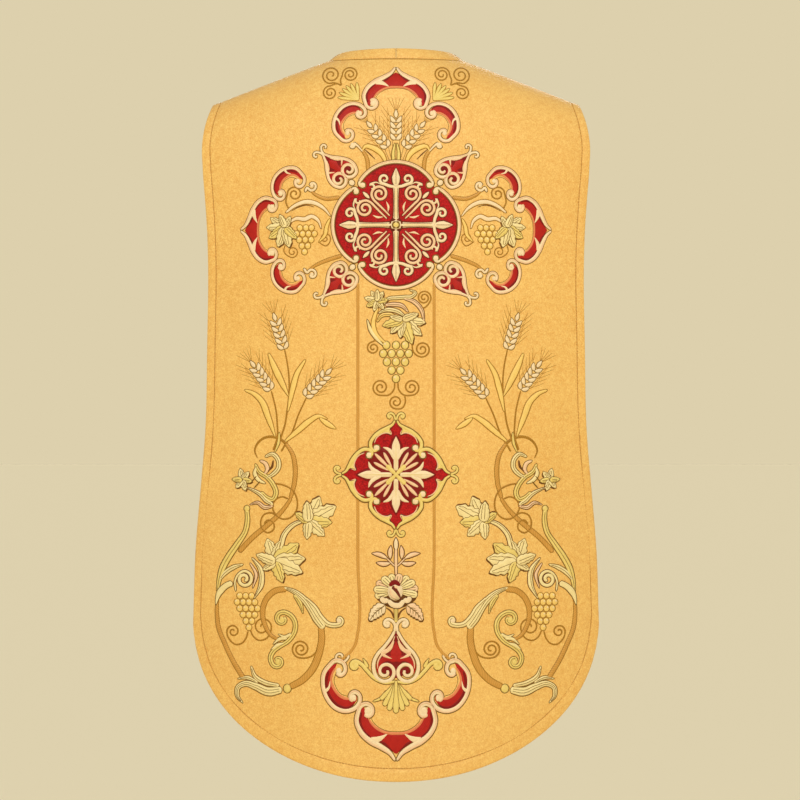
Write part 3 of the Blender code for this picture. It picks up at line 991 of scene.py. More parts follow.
def side_arms(pen):
    """Grapes, a vine leaf and scrolls in each side arm."""
    pen.satin(
        "brown", [(-130, 205), (-121, 213), (-108, 219), (-84, 218)], (2.4, 4.6, 5.4, 5.4), 0.55,
        rim="tendril", rim_width=0.7
    )
    pen.satin(
        "brown", [(-132, 329), (-123, 321), (-109, 314), (-82, 305)], (2.4, 4.6, 5.4, 5.4), 0.55,
        rim="tendril", rim_width=0.7
    )
    pen.satin("pale", [(-136, 209), (-133, 203), (-128, 207)], 4, 0.8, last=((-126, 200), -0.8))
    pen.satin("pale", [(-138, 324), (-133, 330), (-128, 326)], 4, 0.8, last=((-126, 333), 0.8))
    pen.dots("pale", [(-126, 200), (-126, 333)], 3.2, 0.95)
    spiral(pen, [(-160, 236), (-165, 224), (-163, 213)], (-152, 212), 1.7)
    spiral(pen, [(-166, 288), (-168, 298), (-160, 306)], (-155, 299), -1.6, 2.0)
    spiral(pen, [(-117, 284), (-104, 290), (-98, 280)], (-106, 279), -1.3, 2.0)
    blade(pen, [(-165, 240), (-152, 230), (-134, 224), (-119, 227), (-107, 235), (-98, 246)], 6.5, "pale")
    pen.stroke("umber", [(-157, 238), (-146, 232), (-134, 229), (-122, 232)], (1, 1.8, 1), 0.5)
    blade(pen, [(-162, 256), (-149, 249), (-137, 250), (-126, 246), (-116, 253), (-112, 264)], 6.5, "pale")
    blade(pen, [(-99, 250), (-104, 262), (-106, 273), (-115, 284)], 5.5, "gold")
    rows = (
        (263, (-144, -135, -126.5)),
        (272, (-149, -140, -131, -122)),
        (281, (-145, -136, -127)),
        (290, (-141, -132)),
        (299, (-137,)),
    )
    grapes(pen, rows, 4.5)
    lobed_leaf(
        pen, (-166, 262),
        [(-188, 248), (-194, 262), (-190, 278), (-177, 291), (-160, 292), (-149, 279), (-158, 246),
         (-174, 243)]
    )


def hearts():
    """The heart scrolls at the medallion's diagonals, each drawn along its axis from the tip inwards."""
    places = [*both((-110, 152), turned(-45)), *both((-109, 366), turned(-135))]
    axis, half = Pen("hearts", *places), Pen("hearts", *halves(places))
    axis.stroke("dark_red", [(0, 4), (0, 50)], (2, 12, 22, 30, 38, 42, 42, 34, 14), 0.25, profile="broad")
    axis.stroke("red", [(0, 14), (0, 46)], (3, 10, 17, 12, 10, 15, 15, 6), 0.5)
    half.stroke("red", [(4, 33), (12, 31.5), (17, 38), (17.5, 46)], (5, 6, 4.5, 1.5), 0.5)
    half.stroke("rose", [(3, 12), (9, 21), (14, 26.5), (10, 30.5), (7, 33)], (1.5, 4, 5, 3.4, 1.2), 0.8)
    half.satin(
        "pale", [(0.5, 1), (6, 13), (14, 23.5), (20.5, 35), (21.5, 46), (15, 56)],
        (3.2, 5, 5, 5.2, 5.4, 5.4, 5.2, 4.8, 4.4), 0.9, last=((10.5, 45), 1.4, 0.2), tint="rose"
    )
    half.satin("pale", [(1, 3), (1.5, -3), (4, -7)], (3.4, 3.6, 3.4), 0.9, last=((8.5, -5), 0.75))
    axis.dots("pale", [(0, 62)], 4.6, 0.8, rim="line")


# Grounds of red lame

GROUND_HEIGHT = 1.2
GROUND_STEPS = 128
GROUND_RINGS = 24
RING_CROWDING = 0.8


def on_back(across, down, height):
    """Points over the back panel for millimetres across and down, height millimetres off the cloth."""
    x = across * MM
    return above_cloth(x, fall_at_height(x, -down * MM), BACK, height * MM)


def ground(name, centre, radius_at):
    """A red applique: a polar sheet whose outline lies radius_at(turn) from its centre, sunk at its edge."""
    turn = np.linspace(0, 2 * math.pi, GROUND_STEPS, endpoint=False)[None, :]
    share = (np.linspace(1, 0, GROUND_RINGS, endpoint=False)[:, None]) ** RING_CROWDING
    reach = radius_at(turn) * share
    across = centre[0] + reach * np.cos(turn)
    down = centre[1] + reach * np.sin(turn)
    top = on_back(across, down, np.where(share == 1, BURIED, GROUND_HEIGHT) + 0 * turn)
    hub = on_back(np.full(1, centre[0]), np.full(1, centre[1]), np.full(1, GROUND_HEIGHT))
    index = np.arange(GROUND_RINGS * GROUND_STEPS).reshape(GROUND_RINGS, GROUND_STEPS)
    foot = [index[0, ::-1].tolist()]
    index = np.concatenate([index, index[:, :1]], axis=1)
    spokes = np.stack([index[-1, :-1], index[-1, 1:], np.full(GROUND_STEPS, index.max() + 1)], axis=-1)
    faces = grid_faces(index).tolist() + spokes.tolist() + foot
    made = finish_mesh(name, np.concatenate([top.reshape(-1, 3), hub]), faces, materials=(RED_LAME,))
    return made


# The medallion

MEDALLION_CENTRE = (0.0, 259.0)
ARC_OFFSET = 30.0
ARC_RADIUS = 64.5
ARC_HALF_ANGLE = 57


def from_nearest(turn):
    """How far a direction lies from the nearest of the four axes."""
    return (turn + math.pi / 4) % (math.pi / 2) - math.pi / 4


def four_arcs(turn):
    """Distance from the centre to the nearest of four arcs whose centres lie offset along the axes."""
    near = from_nearest(turn)
    return ARC_OFFSET * np.cos(near) + np.sqrt((ARC_RADIUS - 1) ** 2 - (ARC_OFFSET * np.sin(near)) ** 2)


def medallion():
    """The cord rim, four arcs that curl in at the diagonals, and a cross with scrolls on the red ground."""
    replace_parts(ground("medallion_red_ground", MEDALLION_CENTRE, four_arcs), "medallion_ground")
    places = quarters(MEDALLION_CENTRE)
    axis, half = Pen("medallion", *places), Pen("medallion", *halves(places))
    centre, ends = (0, -ARC_OFFSET), (-90 - ARC_HALF_ANGLE, -90 + ARC_HALF_ANGLE)
    arc = [polar(centre, ARC_RADIUS, angle) for angle in np.linspace(*ends, 15)]
    shade = [polar(centre, ARC_RADIUS - 4.5, angle) for angle in np.linspace(-145, -35, 13)]
    axis.stroke("dark_red", shade, (1, 4.5, 4.5, 4.5, 1), GROUND_HEIGHT + 0.1)
    axis.satin("pale", arc, 5.4, 1.9, tint="rose")
    half.satin("pale", [(53, -67), (55, -62), (53, -57)], (4.6, 4.6, 4), 2.0)
    half.dots("pale", [(50, -59.5)], 5.4, 2.3, rim="line", rim_width=0.8)

    top = GROUND_HEIGHT
    axis.satin(
        "pale", [(0, -7), (0, -58)], (11, 8.6, 8, 8.6, 11), top + 0.9, rim="maroon", ribs=(-0.5, 0.5)
    )
    axis.stroke("lemon", [(0, -12), (0, -54)], (3, 2.2, 3), top + 1.05)
    axis.ribbed("pale", [(0, -57), (0, -85)], (6, 13, 15, 9, 1), top + 1.0, rim="maroon")
    curl = [(1, -57), (9, -58), (17, -61)]
    half.satin("pale", curl, (5, 6, 5.4, 4.6, 4), top + 0.9, last=((17.5, -68.5), -1.2, 0.25), rim="maroon")
    places = quarters(MEDALLION_CENTRE, 45)
    axis, half = Pen("medallion", *places), Pen("medallion", *halves(places))
    horn = [(3, -16), (3.2, -30), (3, -42), (3, -50)]
    half.satin(
        "rose", horn, (2.4, 4, 4.6, 5, 5, 4.8, 4.4), top + 0.8, last=((15.5, -50), 1.75, 0.16), rim="maroon"
    )
    half.satin("pale", [(5, -22), (11, -27), (14.5, -35)], (1, 4.4, 1), top + 0.75, rim="maroon")
    half.satin(
        "pale", [(27, -58), (24, -66), (15, -70)], (1, 4.4, 3.6), top + 0.8, last=((14, -65), 0.7),
        rim="maroon"
    )
    axis.satin("pale", [(0, -56), (0, -70)], (2, 6.4, 6, 1), top + 0.95, rim="maroon")
    hub = Pen("medallion", (HERE, MEDALLION_CENTRE))
    hub.dots("pale", [(0, 0)], 10.5, top + 1.5, rim="maroon")
    hub.dots("lemon", [(0, 0)], 5.6, top + 2.0, rim="line")


# The column

def column():
    """Its two braids, the vine with grapes, the quatrefoil, the flower and the heart scroll."""
    pen = Pen("column", *both())
    pen.stroke("brown", [(-57, 346), (-57, 420), (-57, 500), (-57, 604)], 4.8, 0.8)
    pen.stroke("brown", [(-57, 661), (-57, 760), (-57, 868), (-61, 886), (-72, 901), (-82, 908)], 4.8, 0.8)
    pen.satin("pale", [(-78, 912), (-73, 908), (-70, 902)], 3.6, 0.9, first=((-83, 905), 0.9))
    vine()
    quatrefoil()
    flower()
    heart_scroll()


def vine():
    """The column's vine: tendrils, a winding stem, a bunch of grapes and two leaves."""
    pen = Pen("column", MIDDLE)
    spiral(pen, [(33, 381), (42, 383), (50, 375)], (42, 368), -2.1)
    spiral(pen, [(-21, 437), (-27, 432), (-36, 434)], (-34, 443), -1.7)
    spiral(pen, [(24, 436), (26, 449), (35, 456)], (39, 445), -1.9)
    spiral(pen, [(-2, 495), (-3, 505), (-10, 513), (-21, 514)], (-23, 502), 1.9)
    spiral(pen, [(3, 495), (4, 505), (11, 513), (22, 514)], (23, 502), -1.9)
    spiral(pen, [(13, 514), (14, 524), (9, 533), (0, 534)], (0, 524), 1.6)
    blade(pen, [(-27, 383), (-32, 396), (-34, 407), (-31, 420), (-23, 430), (-12, 438)], 6.5)
    pen.satin("cream", [(-43, 401), (-38, 416), (-30, 428), (-19, 439)], (1.5, 6, 5.5, 2), 0.8, rim="umber")
    pen.satin(
        "rose", [(12, 369), (27, 374), (38, 386), (42, 403)], (3, 6.5, 6, 2), 0.8, rim="umber", ribs=(-0.3,)
    )
    pen.ribbed(
        "cream", [(-18, 377), (-12, 370), (2, 368), (14, 367), (24, 366), (29, 361), (20, 356)],
        (3, 5, 5.4, 5.4, 5.4, 5, 1), 0.9
    )
    pen.ribbed("rose", [(-16, 379), (-3, 378), (9, 380), (18, 389)], (4, 6.5, 6, 2), 0.85, rim="umber")
    pen.ribbed("cream", [(-26, 391), (-14, 386), (1, 388), (16, 398)], (2, 6.5, 6.5, 2), 0.9, rim="umber")
    pen.ribbed("gold", [(-28, 404), (-22, 395), (-10, 393), (4, 398)], (2, 6, 6, 2), 0.7)
    rows = (
        (439, (-14.5, 0, 13.5)),
        (451.5, (-19, -6.5, 6.5, 19)),
        (464, (-13.5, 0, 13.5)),
        (476.5, (-6.5, 6.5)),
        (489, (0,)),
    )
    grapes(pen, rows, 5.9, "lemon", "line")
    lobed_leaf(
        pen, (-28, 373),
        [(-37, 358), (-47, 368), (-44, 381), (-33, 388), (-18, 385), (-12, 371), (-19, 359), (-28, 356)]
    )
    lobed_leaf(
        pen, (10, 401),
        [(44, 405), (38, 424), (24, 437), (6, 428), (-8, 421), (-20, 410), (-9, 396), (33, 392)], 0.5
    )


QUATREFOIL_CENTRE = (0.0, 632.5)
QUATREFOIL_OUTLINE = (
    # angle from the axis in degrees, distance from the centre in millimetres
    (0, 81),
    (4, 75),
    (9, 71),
    (20, 67),
    (31, 63),
    (39, 58),
    (45, 50),
)


def four_ogees(turn):
    """Distance from the centre to the quatrefoil's outline."""
    return through_rows(np.degrees(np.abs(from_nearest(turn))), QUATREFOIL_OUTLINE)


def quatrefoil():
    """Four ogee lobes round a rosette of four fleur petals and twelve narrow ones, on a red ground."""
    ground("quatrefoil_red_ground", QUATREFOIL_CENTRE, four_ogees)
    top = GROUND_HEIGHT
    places = quarters(QUATREFOIL_CENTRE)
    axis, half = Pen("quatrefoil", *places), Pen("quatrefoil", *halves(places))
    diagonal = Pen("quatrefoil", *quarters(QUATREFOIL_CENTRE, 45))
    diagonal.stroke("dark_red", [(0, -4), (0, -49)], (8, 22, 32, 38, 22), top + 0.1, profile="broad")
    axis.stroke("dark_red", [(0, -4), (0, -60)], (10, 13, 18, 24, 16, 3), top + 0.12, profile="broad")
    half.stroke(
        "maroon", [(2, -76), (9.5, -66), (7.5, -59), (11, -60.5), (21, -62), (31, -56), (33, -47)], 2.2,
        top + 0.15, profile="flat"
    )
    half.fill(
        "lemon", [(4, -77), (9, -72), (16, -69), (26, -63), (34, -54)],
        [(4, -77), (9.5, -67), (7, -59.5), (13, -62.5), (34, -54)], top + 0.55
    )
    half.satin(
        "lemon", [(1.5, -81), (5, -75), (13, -70), (24, -64), (33, -56), (38, -47), (36, -38)],
        (3, 5.4, 6.4, 6.4, 6.4, 6, 5), top + 0.7, last=((31, -40), 0.55)
    )
    half.stroke(
        "rose", [(8.8, -67), (7, -60.5), (12, -62.5), (21, -61), (29, -55), (32.5, -47)],
        (1, 2.2, 2.4, 2.4, 2.2, 1.6), top + 0.85
    )
    half.dots("pale", [(29, -40)], 5.6, top + 0.9, rim="line", rim_width=0.9)
    half.satin("lemon", [(1, -79), (1.5, -85), (4, -90)], (3, 3.6, 3.6), 0.9, last=((8.5, -87), 0.75))
    half.dots("lemon", [(8.5, -87)], 2.6, 1.0)
    for angle, reach, width in ((-61, 38, 6), (-45, 45, 6.5), (-29, 38, 6)):
        petal = [polar((0, 0), 13, angle), polar((0, 0), reach, angle)]
        axis.satin(
            "rose", petal, (1.5, 0.7 * width, width, width, 3), top + 0.7, rim="maroon", rim_width=1.3
        )
    half.satin(
        "pale", [(2, -22), (6, -32), (11, -37.5), (19.5, -41)], (4, 8, 8, 6, 1.5), top + 0.75, rim="maroon"
    )
    axis.satin("pale", [(0, -6), (0, -57)], (8, 9, 9, 9, 11, 16, 15, 9, 1), top + 0.85, rim="maroon")
    axis.stroke("lemon", [(0, -10), (0, -46)], (3, 3.4, 2), top + 0.95)
    axis.stroke("line", [(0, -8), (0, -51)], (1.3, 1.3, 0.6), top + 1.05)
    diagonal.stroke("lemon", [(0, 1), (0, -20)], (6, 7.5, 8.5, 8), top + 1.1)
    Pen("quatrefoil", (HERE, QUATREFOIL_CENTRE)).dots(
        "lemon", [(0, 0)], 4.5, top + 1.5, rim="line", rim_width=0.6
    )


PETAL_ANGLES = (-200, -152, -104, -56, -8, -176, -128, -80, -32, 16)
LEAF_TEETH = (3, 11, 17, 20, 16, 20.5, 15, 19, 12, 15, 7, 9, 1.5)


def flower():
    """Buds, a flower of ribbed petals round a cup, and two toothed leaves."""
    pen, side = Pen("column", MIDDLE), Pen("column", *both())
    bud = (1.6, 6, 7, 5.6, 1)
    pen.satin("rose", [(0, 744), (0, 768), (0.5, 784)], (4.4, 5, 3), 0.7, rim="umber")
    side.satin("rose", [(2, 769), (8, 763), (14, 757)], (2.5, 2.4, 1.8), 0.7, rim="umber")
    pen.satin("pale", [(0, 746), (0, 727)], bud, 0.9, rim="umber", rim_width=1.3)
    for points in (
        [(8.5, 758), (8.8, 748), (7.6, 739)],
        [(13, 757.5), (24, 752), (35.5, 750)],
        [(8.5, 764.5), (18, 766), (29, 764)],
    ):
        side.satin("rose", points, bud, 0.9, rim="umber", rim_width=1.3)
        side.stroke("pale", [points[0], points[1]], (0.8, 2.4, 0.8), 1.05)

    side.stroke("umber", [(2, 847), (8, 836), (15, 831)], (4, 3, 2), 0.5)
    rib = [(16.5, 827.5), (29.5, 837.5), (39.5, 850)]
    # An umber copy of the toothed leaves, set lower and under them: painted shadow along their lower edges.
    side.stroke("umber", np.add(rib, (0.8, 2.2)), np.add(LEAF_TEETH, 1.0), 0.25, profile="flat")
    for matrix, thread in ((HERE, "rose"), (ACROSS, "pale")):
        Pen("column", (matrix, (0, 0))).satin(thread, rib, LEAF_TEETH, 0.8, rim_width=0.9, profile="padded")
    side.stroke("line", rib, (1.8, 1.0), 0.9, profile="flat")
    for share in (0.2, 0.38, 0.56, 0.74):
        x, y = 16.5 + 23 * share, 827.5 + 22.5 * share - 2.0 * math.sin(math.pi * share)
        for reach in ((8, 1.5), (0.5, 8)):
            vein = [(x, y), (x + reach[0] * (1.2 - share), y + reach[1] * (1.2 - share))]
            side.stroke("line", vein, (1.2, 0.9), 0.9, profile="flat")
    pen.ribbed("lemon", [(0, 830), (0, 853)], 5.4, 0.7)

    centre = (0, 805.5)
    # An umber disc a little below and right of the flower's centre: painted shadow under the petals.
    pen.dots("umber", [(0.8, 808)], 24.5, 0.4, squash=1.36, flat=True)
    for i, angle in enumerate(PETAL_ANGLES):
        petal = [polar(centre, 7, angle, 0.8), polar(centre, 33, angle, 0.76)]
        thread = ("cream", "rose", "cream")[i % 3]
        pen.satin(
            thread,
            petal,
            (4, 7, 9, 11, 12, 11, 8),
            0.6 + 0.05 * i,
            rim="umber",
            rim_width=0.8,
            ribs=(-0.35, 0.35),
            profile="padded",
        )
    for points in (
        [(-23, 816), (-17, 821), (-11, 819)],
        [(11, 819), (17, 820.5), (22, 815)],
        [(-12, 820), (-4, 827), (5, 827.5), (12, 820)],
    ):
        pen.satin("pale", points, (6, 8, 8.6, 8, 6), 1.2, rim="umber", profile="padded")
        pen.stroke("rose", np.add(points, (0, 2.0)), (1, 2.6, 1), 1.3)
    pen.dots("pale", [(-1, 806.5)], 14, 1.4, rim="umber", squash=0.86, flat=True)
    pen.stroke("rose", [(-8.5, 803), (-7, 812), (0, 818)], (2, 4, 2), 1.45, profile="padded")
    pen.stroke("dark_red", [(-10, 798.5), (-2, 793), (6.5, 798)], (5, 8, 7.5, 4), 1.5, profile="padded")
    pen.stroke("maroon", [(-5, 799), (2, 808), (8, 819)], (7, 5.5, 4, 1), 1.55, profile="padded")
    pen.stroke("rose", [(-2.5, 797.5), (2, 802.5)], (2, 4.4, 2), 1.65, profile="padded")
    pen.stroke("line", [(-10.5, 806), (-6.5, 815.5), (2, 820)], 1.1, 1.6)


def heart_scroll():
    """The ogee heart over the foot of the cross, with its yellow outer curls and the palmette below."""
    pen, side = Pen("column", MIDDLE), Pen("column", *both())
    pen.stroke(
        "dark_red", [(0, 866), (0, 936)], (1, 10, 17, 26, 42, 54, 59, 59, 42, 2), 0.25, profile="broad"
    )
    pen.stroke("red", [(0, 881), (0, 912)], (0.6, 8, 15, 22, 14, 12), 0.5)
    side.stroke("red", [(1, 909), (11, 906.5), (21, 910), (27, 919), (26, 930)], (11, 10, 9, 7, 2), 0.5)
    side.stroke("rose", [(3, 881), (9, 892), (20, 900), (12, 905), (6, 907)], (2, 6, 8, 5, 1), 0.75)
    side.satin(
        "pale", [(2, 866), (8, 877), (17, 889), (27, 900), (32.5, 911), (33, 924), (27, 937)],
        (5, 5.4, 5.8, 6.2, 6.4, 6.2, 6, 5.4, 5), 0.9, last=((15.8, 926.5), 1.5, 0.14)
    )
    inner = [(1.5, 873), (6, 884), (14, 894), (22.5, 903), (27, 912), (27.5, 922)]
    side.stroke("rose", inner, (1.2, 2.4, 3, 3, 2.6, 1.2), 0.85)
    side.satin("pale", [(2, 867), (1.5, 857), (7, 850)], (5, 5, 4.6), 0.9, last=((12, 855.5), 0.8))
    side.dots("pale", [(12, 855)], 4, 1.0)
    side.satin(
        "lemon", [(0, 941), (16, 943), (31, 937), (43, 925), (52, 915), (62, 911)], (4, 5, 6, 6.4, 6), 0.75,
        last=((61, 918), 0.7)
    )
    side.dots("lemon", [(60, 917.5)], 5.0, 0.9)
    side.satin("lemon", [(42, 920), (49, 907)], (5, 5, 1), 0.7)
    side.satin("lemon", [(13, 955), (22, 966), (34, 971)], (4, 5, 2), 0.5)
    for i, (x, y, wide) in enumerate(((23, 968, 7), (18, 977, 8), (10.5, 984, 8.5))):
        lobe = [(1.5, 943), (0.42 * x, 0.5 * (y + 940)), (x, y)]
        side.satin(
            "lemon", lobe, (2.4, 4.4, 6, wide, 0.8 * wide), 0.55 + 0.12 * i, rim_width=0.8, profile="padded"
        )
    pen.satin("lemon", [(0, 940), (0, 988)], (4, 5, 6, 9.5, 7), 0.95, rim_width=0.8, profile="padded")


# The side vines

def side_vines():
    """A sheaf of wheat over a scrolling vine, drawn on the left and mirrored."""
    pen = Pen("vine", *both())
    vine_stems(pen)
    sheaf(pen)
    vine_curls(pen)
    vine_bunch(pen)
    vine_foot(pen)


def vine_stems(pen):
    """The cords of the scrolling vine."""
    pen.stroke(
        "tendril",
        [(-208, 608), (-212, 597), (-207, 585), (-198, 578), (-185, 576), (-173, 580), (-163, 588)],
        (2, 4, 5, 5), 0.5
    )
    for points, width in (
        ([(-165, 586), (-155, 602), (-151, 622), (-152, 644), (-158, 668)], (4, 6, 6.6, 6.4, 5)),
        ([(-157, 668), (-168, 684), (-180, 697), (-196, 711), (-214, 726), (-236, 749)], (4, 6, 7, 7, 7)),
        (
            [(-269, 816), (-270, 841), (-267, 865), (-258, 887), (-246, 912), (-230, 938)],
            (4, 6, 6.4, 6.6, 7),
        ),
        (
            [(-158, 950.5), (-140, 940), (-124, 922), (-115, 899), (-111, 877), (-112, 861)],
            (9, 10, 10.5, 10.5, 10, 9),
        ),
        (
            [(-164, 804), (-181, 807), (-192, 816), (-199, 830), (-200, 845), (-196, 860), (-188, 873),
             (-173, 882)],
            (8, 8.6, 8.4, 8, 7, 6, 5, 3),
        ),
    ):
        pen.satin("brown", points, width, 0.6, rim="tendril", rim_width=0.8)


def sheaf(pen):
    """Three ears of wheat on their stalks, with long leaf blades."""
    for line in (
        [(-167, 445), (-162, 471), (-160, 507), (-163, 536), (-166, 556), (-173, 578), (-182, 598)],
        [(-187, 507), (-180, 536), (-178, 556), (-178, 577), (-184, 596)],
        [(-134, 517), (-146, 543), (-156, 570), (-172, 598)],
    ):
        pen.stroke("tendril", line, (2.4, 2.8, 3, 3.4), 0.5)
    pen.satin("lemon", [(-175, 570), (-176, 584), (-182, 600)], (2, 4.4, 1), 0.6)
    blade(pen, [(-191, 451), (-183, 470), (-173, 491), (-161, 515)], 9.5)
    blade(pen, [(-136, 461), (-148, 481), (-155, 505), (-162, 538)], 8, "gold")
    blade(pen, [(-227, 506), (-214, 511), (-202, 522), (-192, 546), (-181, 576)], 9)
    blade(pen, [(-166, 583), (-147, 567), (-129, 552), (-116, 545), (-103, 549)], 8.5)
    blade(pen, [(-114, 548), (-103, 556), (-90, 564)], 7.5)
    ear(pen, (-168, 444), (-181, 400), 5, 1.0)
    ear(pen, (-188, 505), (-213, 470), 5, 1.0)
    ear(pen, (-135, 515), (-103, 481), 5, 1.0)


def vine_curls(pen):
    """Thin rings, curled leaves, the long outer leaf and three vine leaves."""
    for ring in (
        [(-182, 646), (-170, 648), (-155, 656), (-148, 671), (-150, 688), (-160, 698), (-171, 699),
         (-180, 693), (-185, 682), (-181, 671), (-171, 666), (-161, 669)],
        [(-180, 693), (-188, 690), (-198, 693), (-203, 703), (-201, 714), (-192, 720), (-183, 714),
         (-184, 705), (-192, 701), (-198, 706)],
    ):
        pen.stroke("tendril", ring, 2.8, 0.75)
    pen.ribbed(
        "lemon",
        [(-202, 659), (-194, 667), (-185, 670), (-180, 661), (-184, 648), (-193, 637), (-206, 628),
         (-211, 617)],
        (4, 6, 7, 7, 6.6, 6, 3), 0.8
    )
    pen.ribbed(
        "cream", [(-196, 606), (-185, 602), (-177, 610), (-176, 622), (-184, 632), (-195, 638)],
        (3, 6.4, 6.6, 6.4, 4), 0.85
    )
    pen.satin("rose", [(-204, 612), (-196, 616), (-193, 625), (-198, 633)], (3, 6, 6, 2), 0.8)
    pen.stroke("umber", [(-184, 611), (-186, 621), (-192, 628)], (2, 4.4, 1.4), 0.9)
    pen.satin("cream", [(-209, 620), (-212, 631), (-206, 641), (-196, 646)], (2, 6, 6, 2), 0.8)
    pen.stroke("line", [(-217, 644), (-209, 635)], 2.2, 0.9)
    pen.stroke("line", [(-213, 653), (-204, 643)], 2.2, 0.9)
    lobed_leaf(
        pen, (-231, 641), [(-234, 624), (-221, 629), (-216, 643), (-226, 657), (-240, 653), (-246, 640)],
        0.62
    )
    pen.ribbed(
        "cream", [(-184, 678), (-194, 672), (-203, 663), (-213, 657), (-226, 652)], (4, 7, 6, 4, 1), 0.85,
        rim="umber"
    )
    pen.ribbed("rose", [(-184, 680), (-197, 682), (-208, 675), (-219, 678)], (3, 6, 5, 1), 0.8, rim="umber")
    pen.ribbed(
        "lemon",
        [(-224, 686), (-223, 700), (-226, 717), (-239, 738), (-252, 757), (-262, 776), (-267, 795),
         (-269, 810)],
        (6, 7.4, 7.4, 9, 10, 10, 7, 3), 0.75
    )
    pen.dots("lemon", [(-224, 684)], 4.6, 0.95, rim="line")

    pen.satin(
        "cream", [(-138, 701), (-154, 708), (-167, 722), (-173, 744)], (5, 7, 8, 8), 0.8, rim="umber",
        ribs=(0.3,)
    )
    lobed_leaf(
        pen, (-131, 703),
        [(-114, 666), (-90, 680), (-96, 704), (-107, 724), (-133, 729), (-150, 690), (-133, 673)], 0.6,
        shadow=(-0.6, -2.2)
    )
    lobed_leaf(
        pen, (-181, 764),
        [(-193, 729), (-172, 731), (-146, 736), (-136, 758), (-140, 779), (-170, 794), (-199, 776),
         (-209, 753)],
        0.58
    )


def vine_bunch(pen):
    """The bud leaf, curled leaves, a bunch of grapes with its tendrils, and the S scroll."""
    pen.satin(
        "cream", [(-271, 829), (-269.5, 821), (-266.5, 812.5), (-261, 805), (-254, 799.5), (-246, 796)],
        (1, 4, 7, 9.4, 8.8, 8.4, 8), 0.95, profile="padded"
    )
    pen.ribbed("cream", [(-266, 792), (-256, 780), (-243, 772), (-230, 768)], (3, 7, 7, 2), 0.85)
    pen.satin(
        "cream", [(-241, 808), (-242, 793), (-236, 782), (-227, 778)], (2, 5.4, 5.4), 0.8,
        last=((-228, 790), 1.45, 0.2), rim="umber"
    )
    pen.satin(
        "cream", [(-216, 758), (-203, 776), (-202, 797), (-213, 819)], (2, 8, 8, 1), 0.85, rim="umber",
        ribs=(0.2,)
    )
    pen.satin("rose", [(-219, 766), (-210, 783), (-215, 803)], (2, 5, 1), 0.8, rim="umber")
    rows = (
        (815, (-235, -226, -217)),
        (824.5, (-239, -230, -221, -212)),
        (834, (-235, -226, -217, -208)),
        (843.5, (-230, -221, -212)),
        (853, (-225.5, -216.5)),
        (862.5, (-221,)),
    )
    spiral(
        pen, [(-222, 868), (-226, 880), (-231, 886), (-241, 888.5), (-250, 882), (-254.5, 871)],
        (-245, 869), 1.5
    )
    spiral(pen, [(-219, 866), (-214, 876), (-206, 881.5), (-195, 879), (-188, 868)], (-200.5, 861.5), -1.6)
    spiral(pen, [(-112, 876), (-115, 890), (-126, 904), (-141, 907)], (-142, 893.5), 2.1, 3.0)
    grapes(pen, rows, 4.7)
    pen.ribbed(
        "lemon",
        [(-170, 839), (-158, 843), (-151, 853), (-151, 866), (-156, 876), (-162, 882.5), (-174, 890),
         (-184, 898), (-188, 906), (-186.5, 915)],
        (5, 7, 7, 7, 6.4, 7, 6.6, 5.4), 0.8, first=((-170, 849), -0.9), last=((-177.5, 912.5), -0.9)
    )
    pen.dots("lemon", [(-171, 850), (-177.5, 913.5)], 4.2, 0.95)
    for points in (
        [(-176, 872), (-166, 876), (-157, 871)],
        [(-184, 887), (-174, 879), (-163, 878)],
        [(-187, 895), (-177, 888), (-168, 886)],
    ):
        pen.satin("cream", points, (1, 5.4, 4), 0.85)


def vine_foot(pen):
    """The long leaf that coils towards the cross's foot, and the leaf at the foot of the vine."""
    pen.satin(
        "cream", [(-108, 862), (-118, 849), (-126, 836), (-136, 821), (-150, 809), (-167, 802)],
        (10, 12, 10, 10, 7, 3), 0.9, ribs=(-0.3, 0.35)
    )
    pen.ribbed("lemon", [(-139, 840), (-143, 826), (-152, 813)], (0.8, 7, 4), 0.85)
    pen.ribbed(
        "cream", [(-136, 817), (-121, 832), (-112, 846), (-101, 856), (-87, 857)], (5, 7.4, 8, 7.6, 6),
        0.95, last=((-86, 850), -0.6)
    )
    pen.dots("pale", [(-84, 850)], 5.6, 1.1, rim="line")
    pen.satin(
        "cream",
        [(-230.5, 976), (-238.5, 966), (-237.5, 953), (-226.5, 947), (-210.5, 951), (-192.5, 958),
         (-171, 955)],
        (1.5, 6.4, 8, 10, 13, 14, 10), 0.9, ribs=(-0.3, 0.3)
    )
    pen.ribbed("cream", [(-217.5, 921), (-211.5, 936), (-196.5, 945), (-175, 949)], (2, 7, 7, 5), 0.85)
    pen.ribbed("cream", [(-237.5, 940), (-223.5, 938), (-207.5, 945)], (1, 6, 3), 0.8)
    pen.dots("lemon", [(-162.5, 953)], 6.4, 1.0, rim="line")


# Sewing

TOPSTITCH_LENGTH = 3.9
TOPSTITCH_PITCH = 4.4
TOPSTITCH_STATIONS = (
    # place along the stitch, half width, height
    (-1.0, 0.25, -0.5),
    (-0.6, 0.7, 0.4),
    (0.6, 0.7, 0.4),
    (1.0, 0.25, -0.5),
)
NECK_SEAM_DOWN = 6.6


def stitch_path(side):
    """The panel's free edge from one shoulder tip round the hem to the other, moved in over the cloth."""
    x, fall = [
        np.concatenate([grid[:, -1], grid[-1, -2:0:-1], grid[::-1, 0]]) for grid in panel_grid(side)
    ]
    edge = cloth_point(x, fall, side)
    ahead = np.gradient(edge, axis=0)
    ahead /= np.linalg.norm(ahead, axis=1, keepdims=True)
    inward = side * np.cross(cloth_normal(x, fall, side), ahead)
    return (edge + inward * stitch_line(edge[:, 2:], side))[:, [0, 2]]


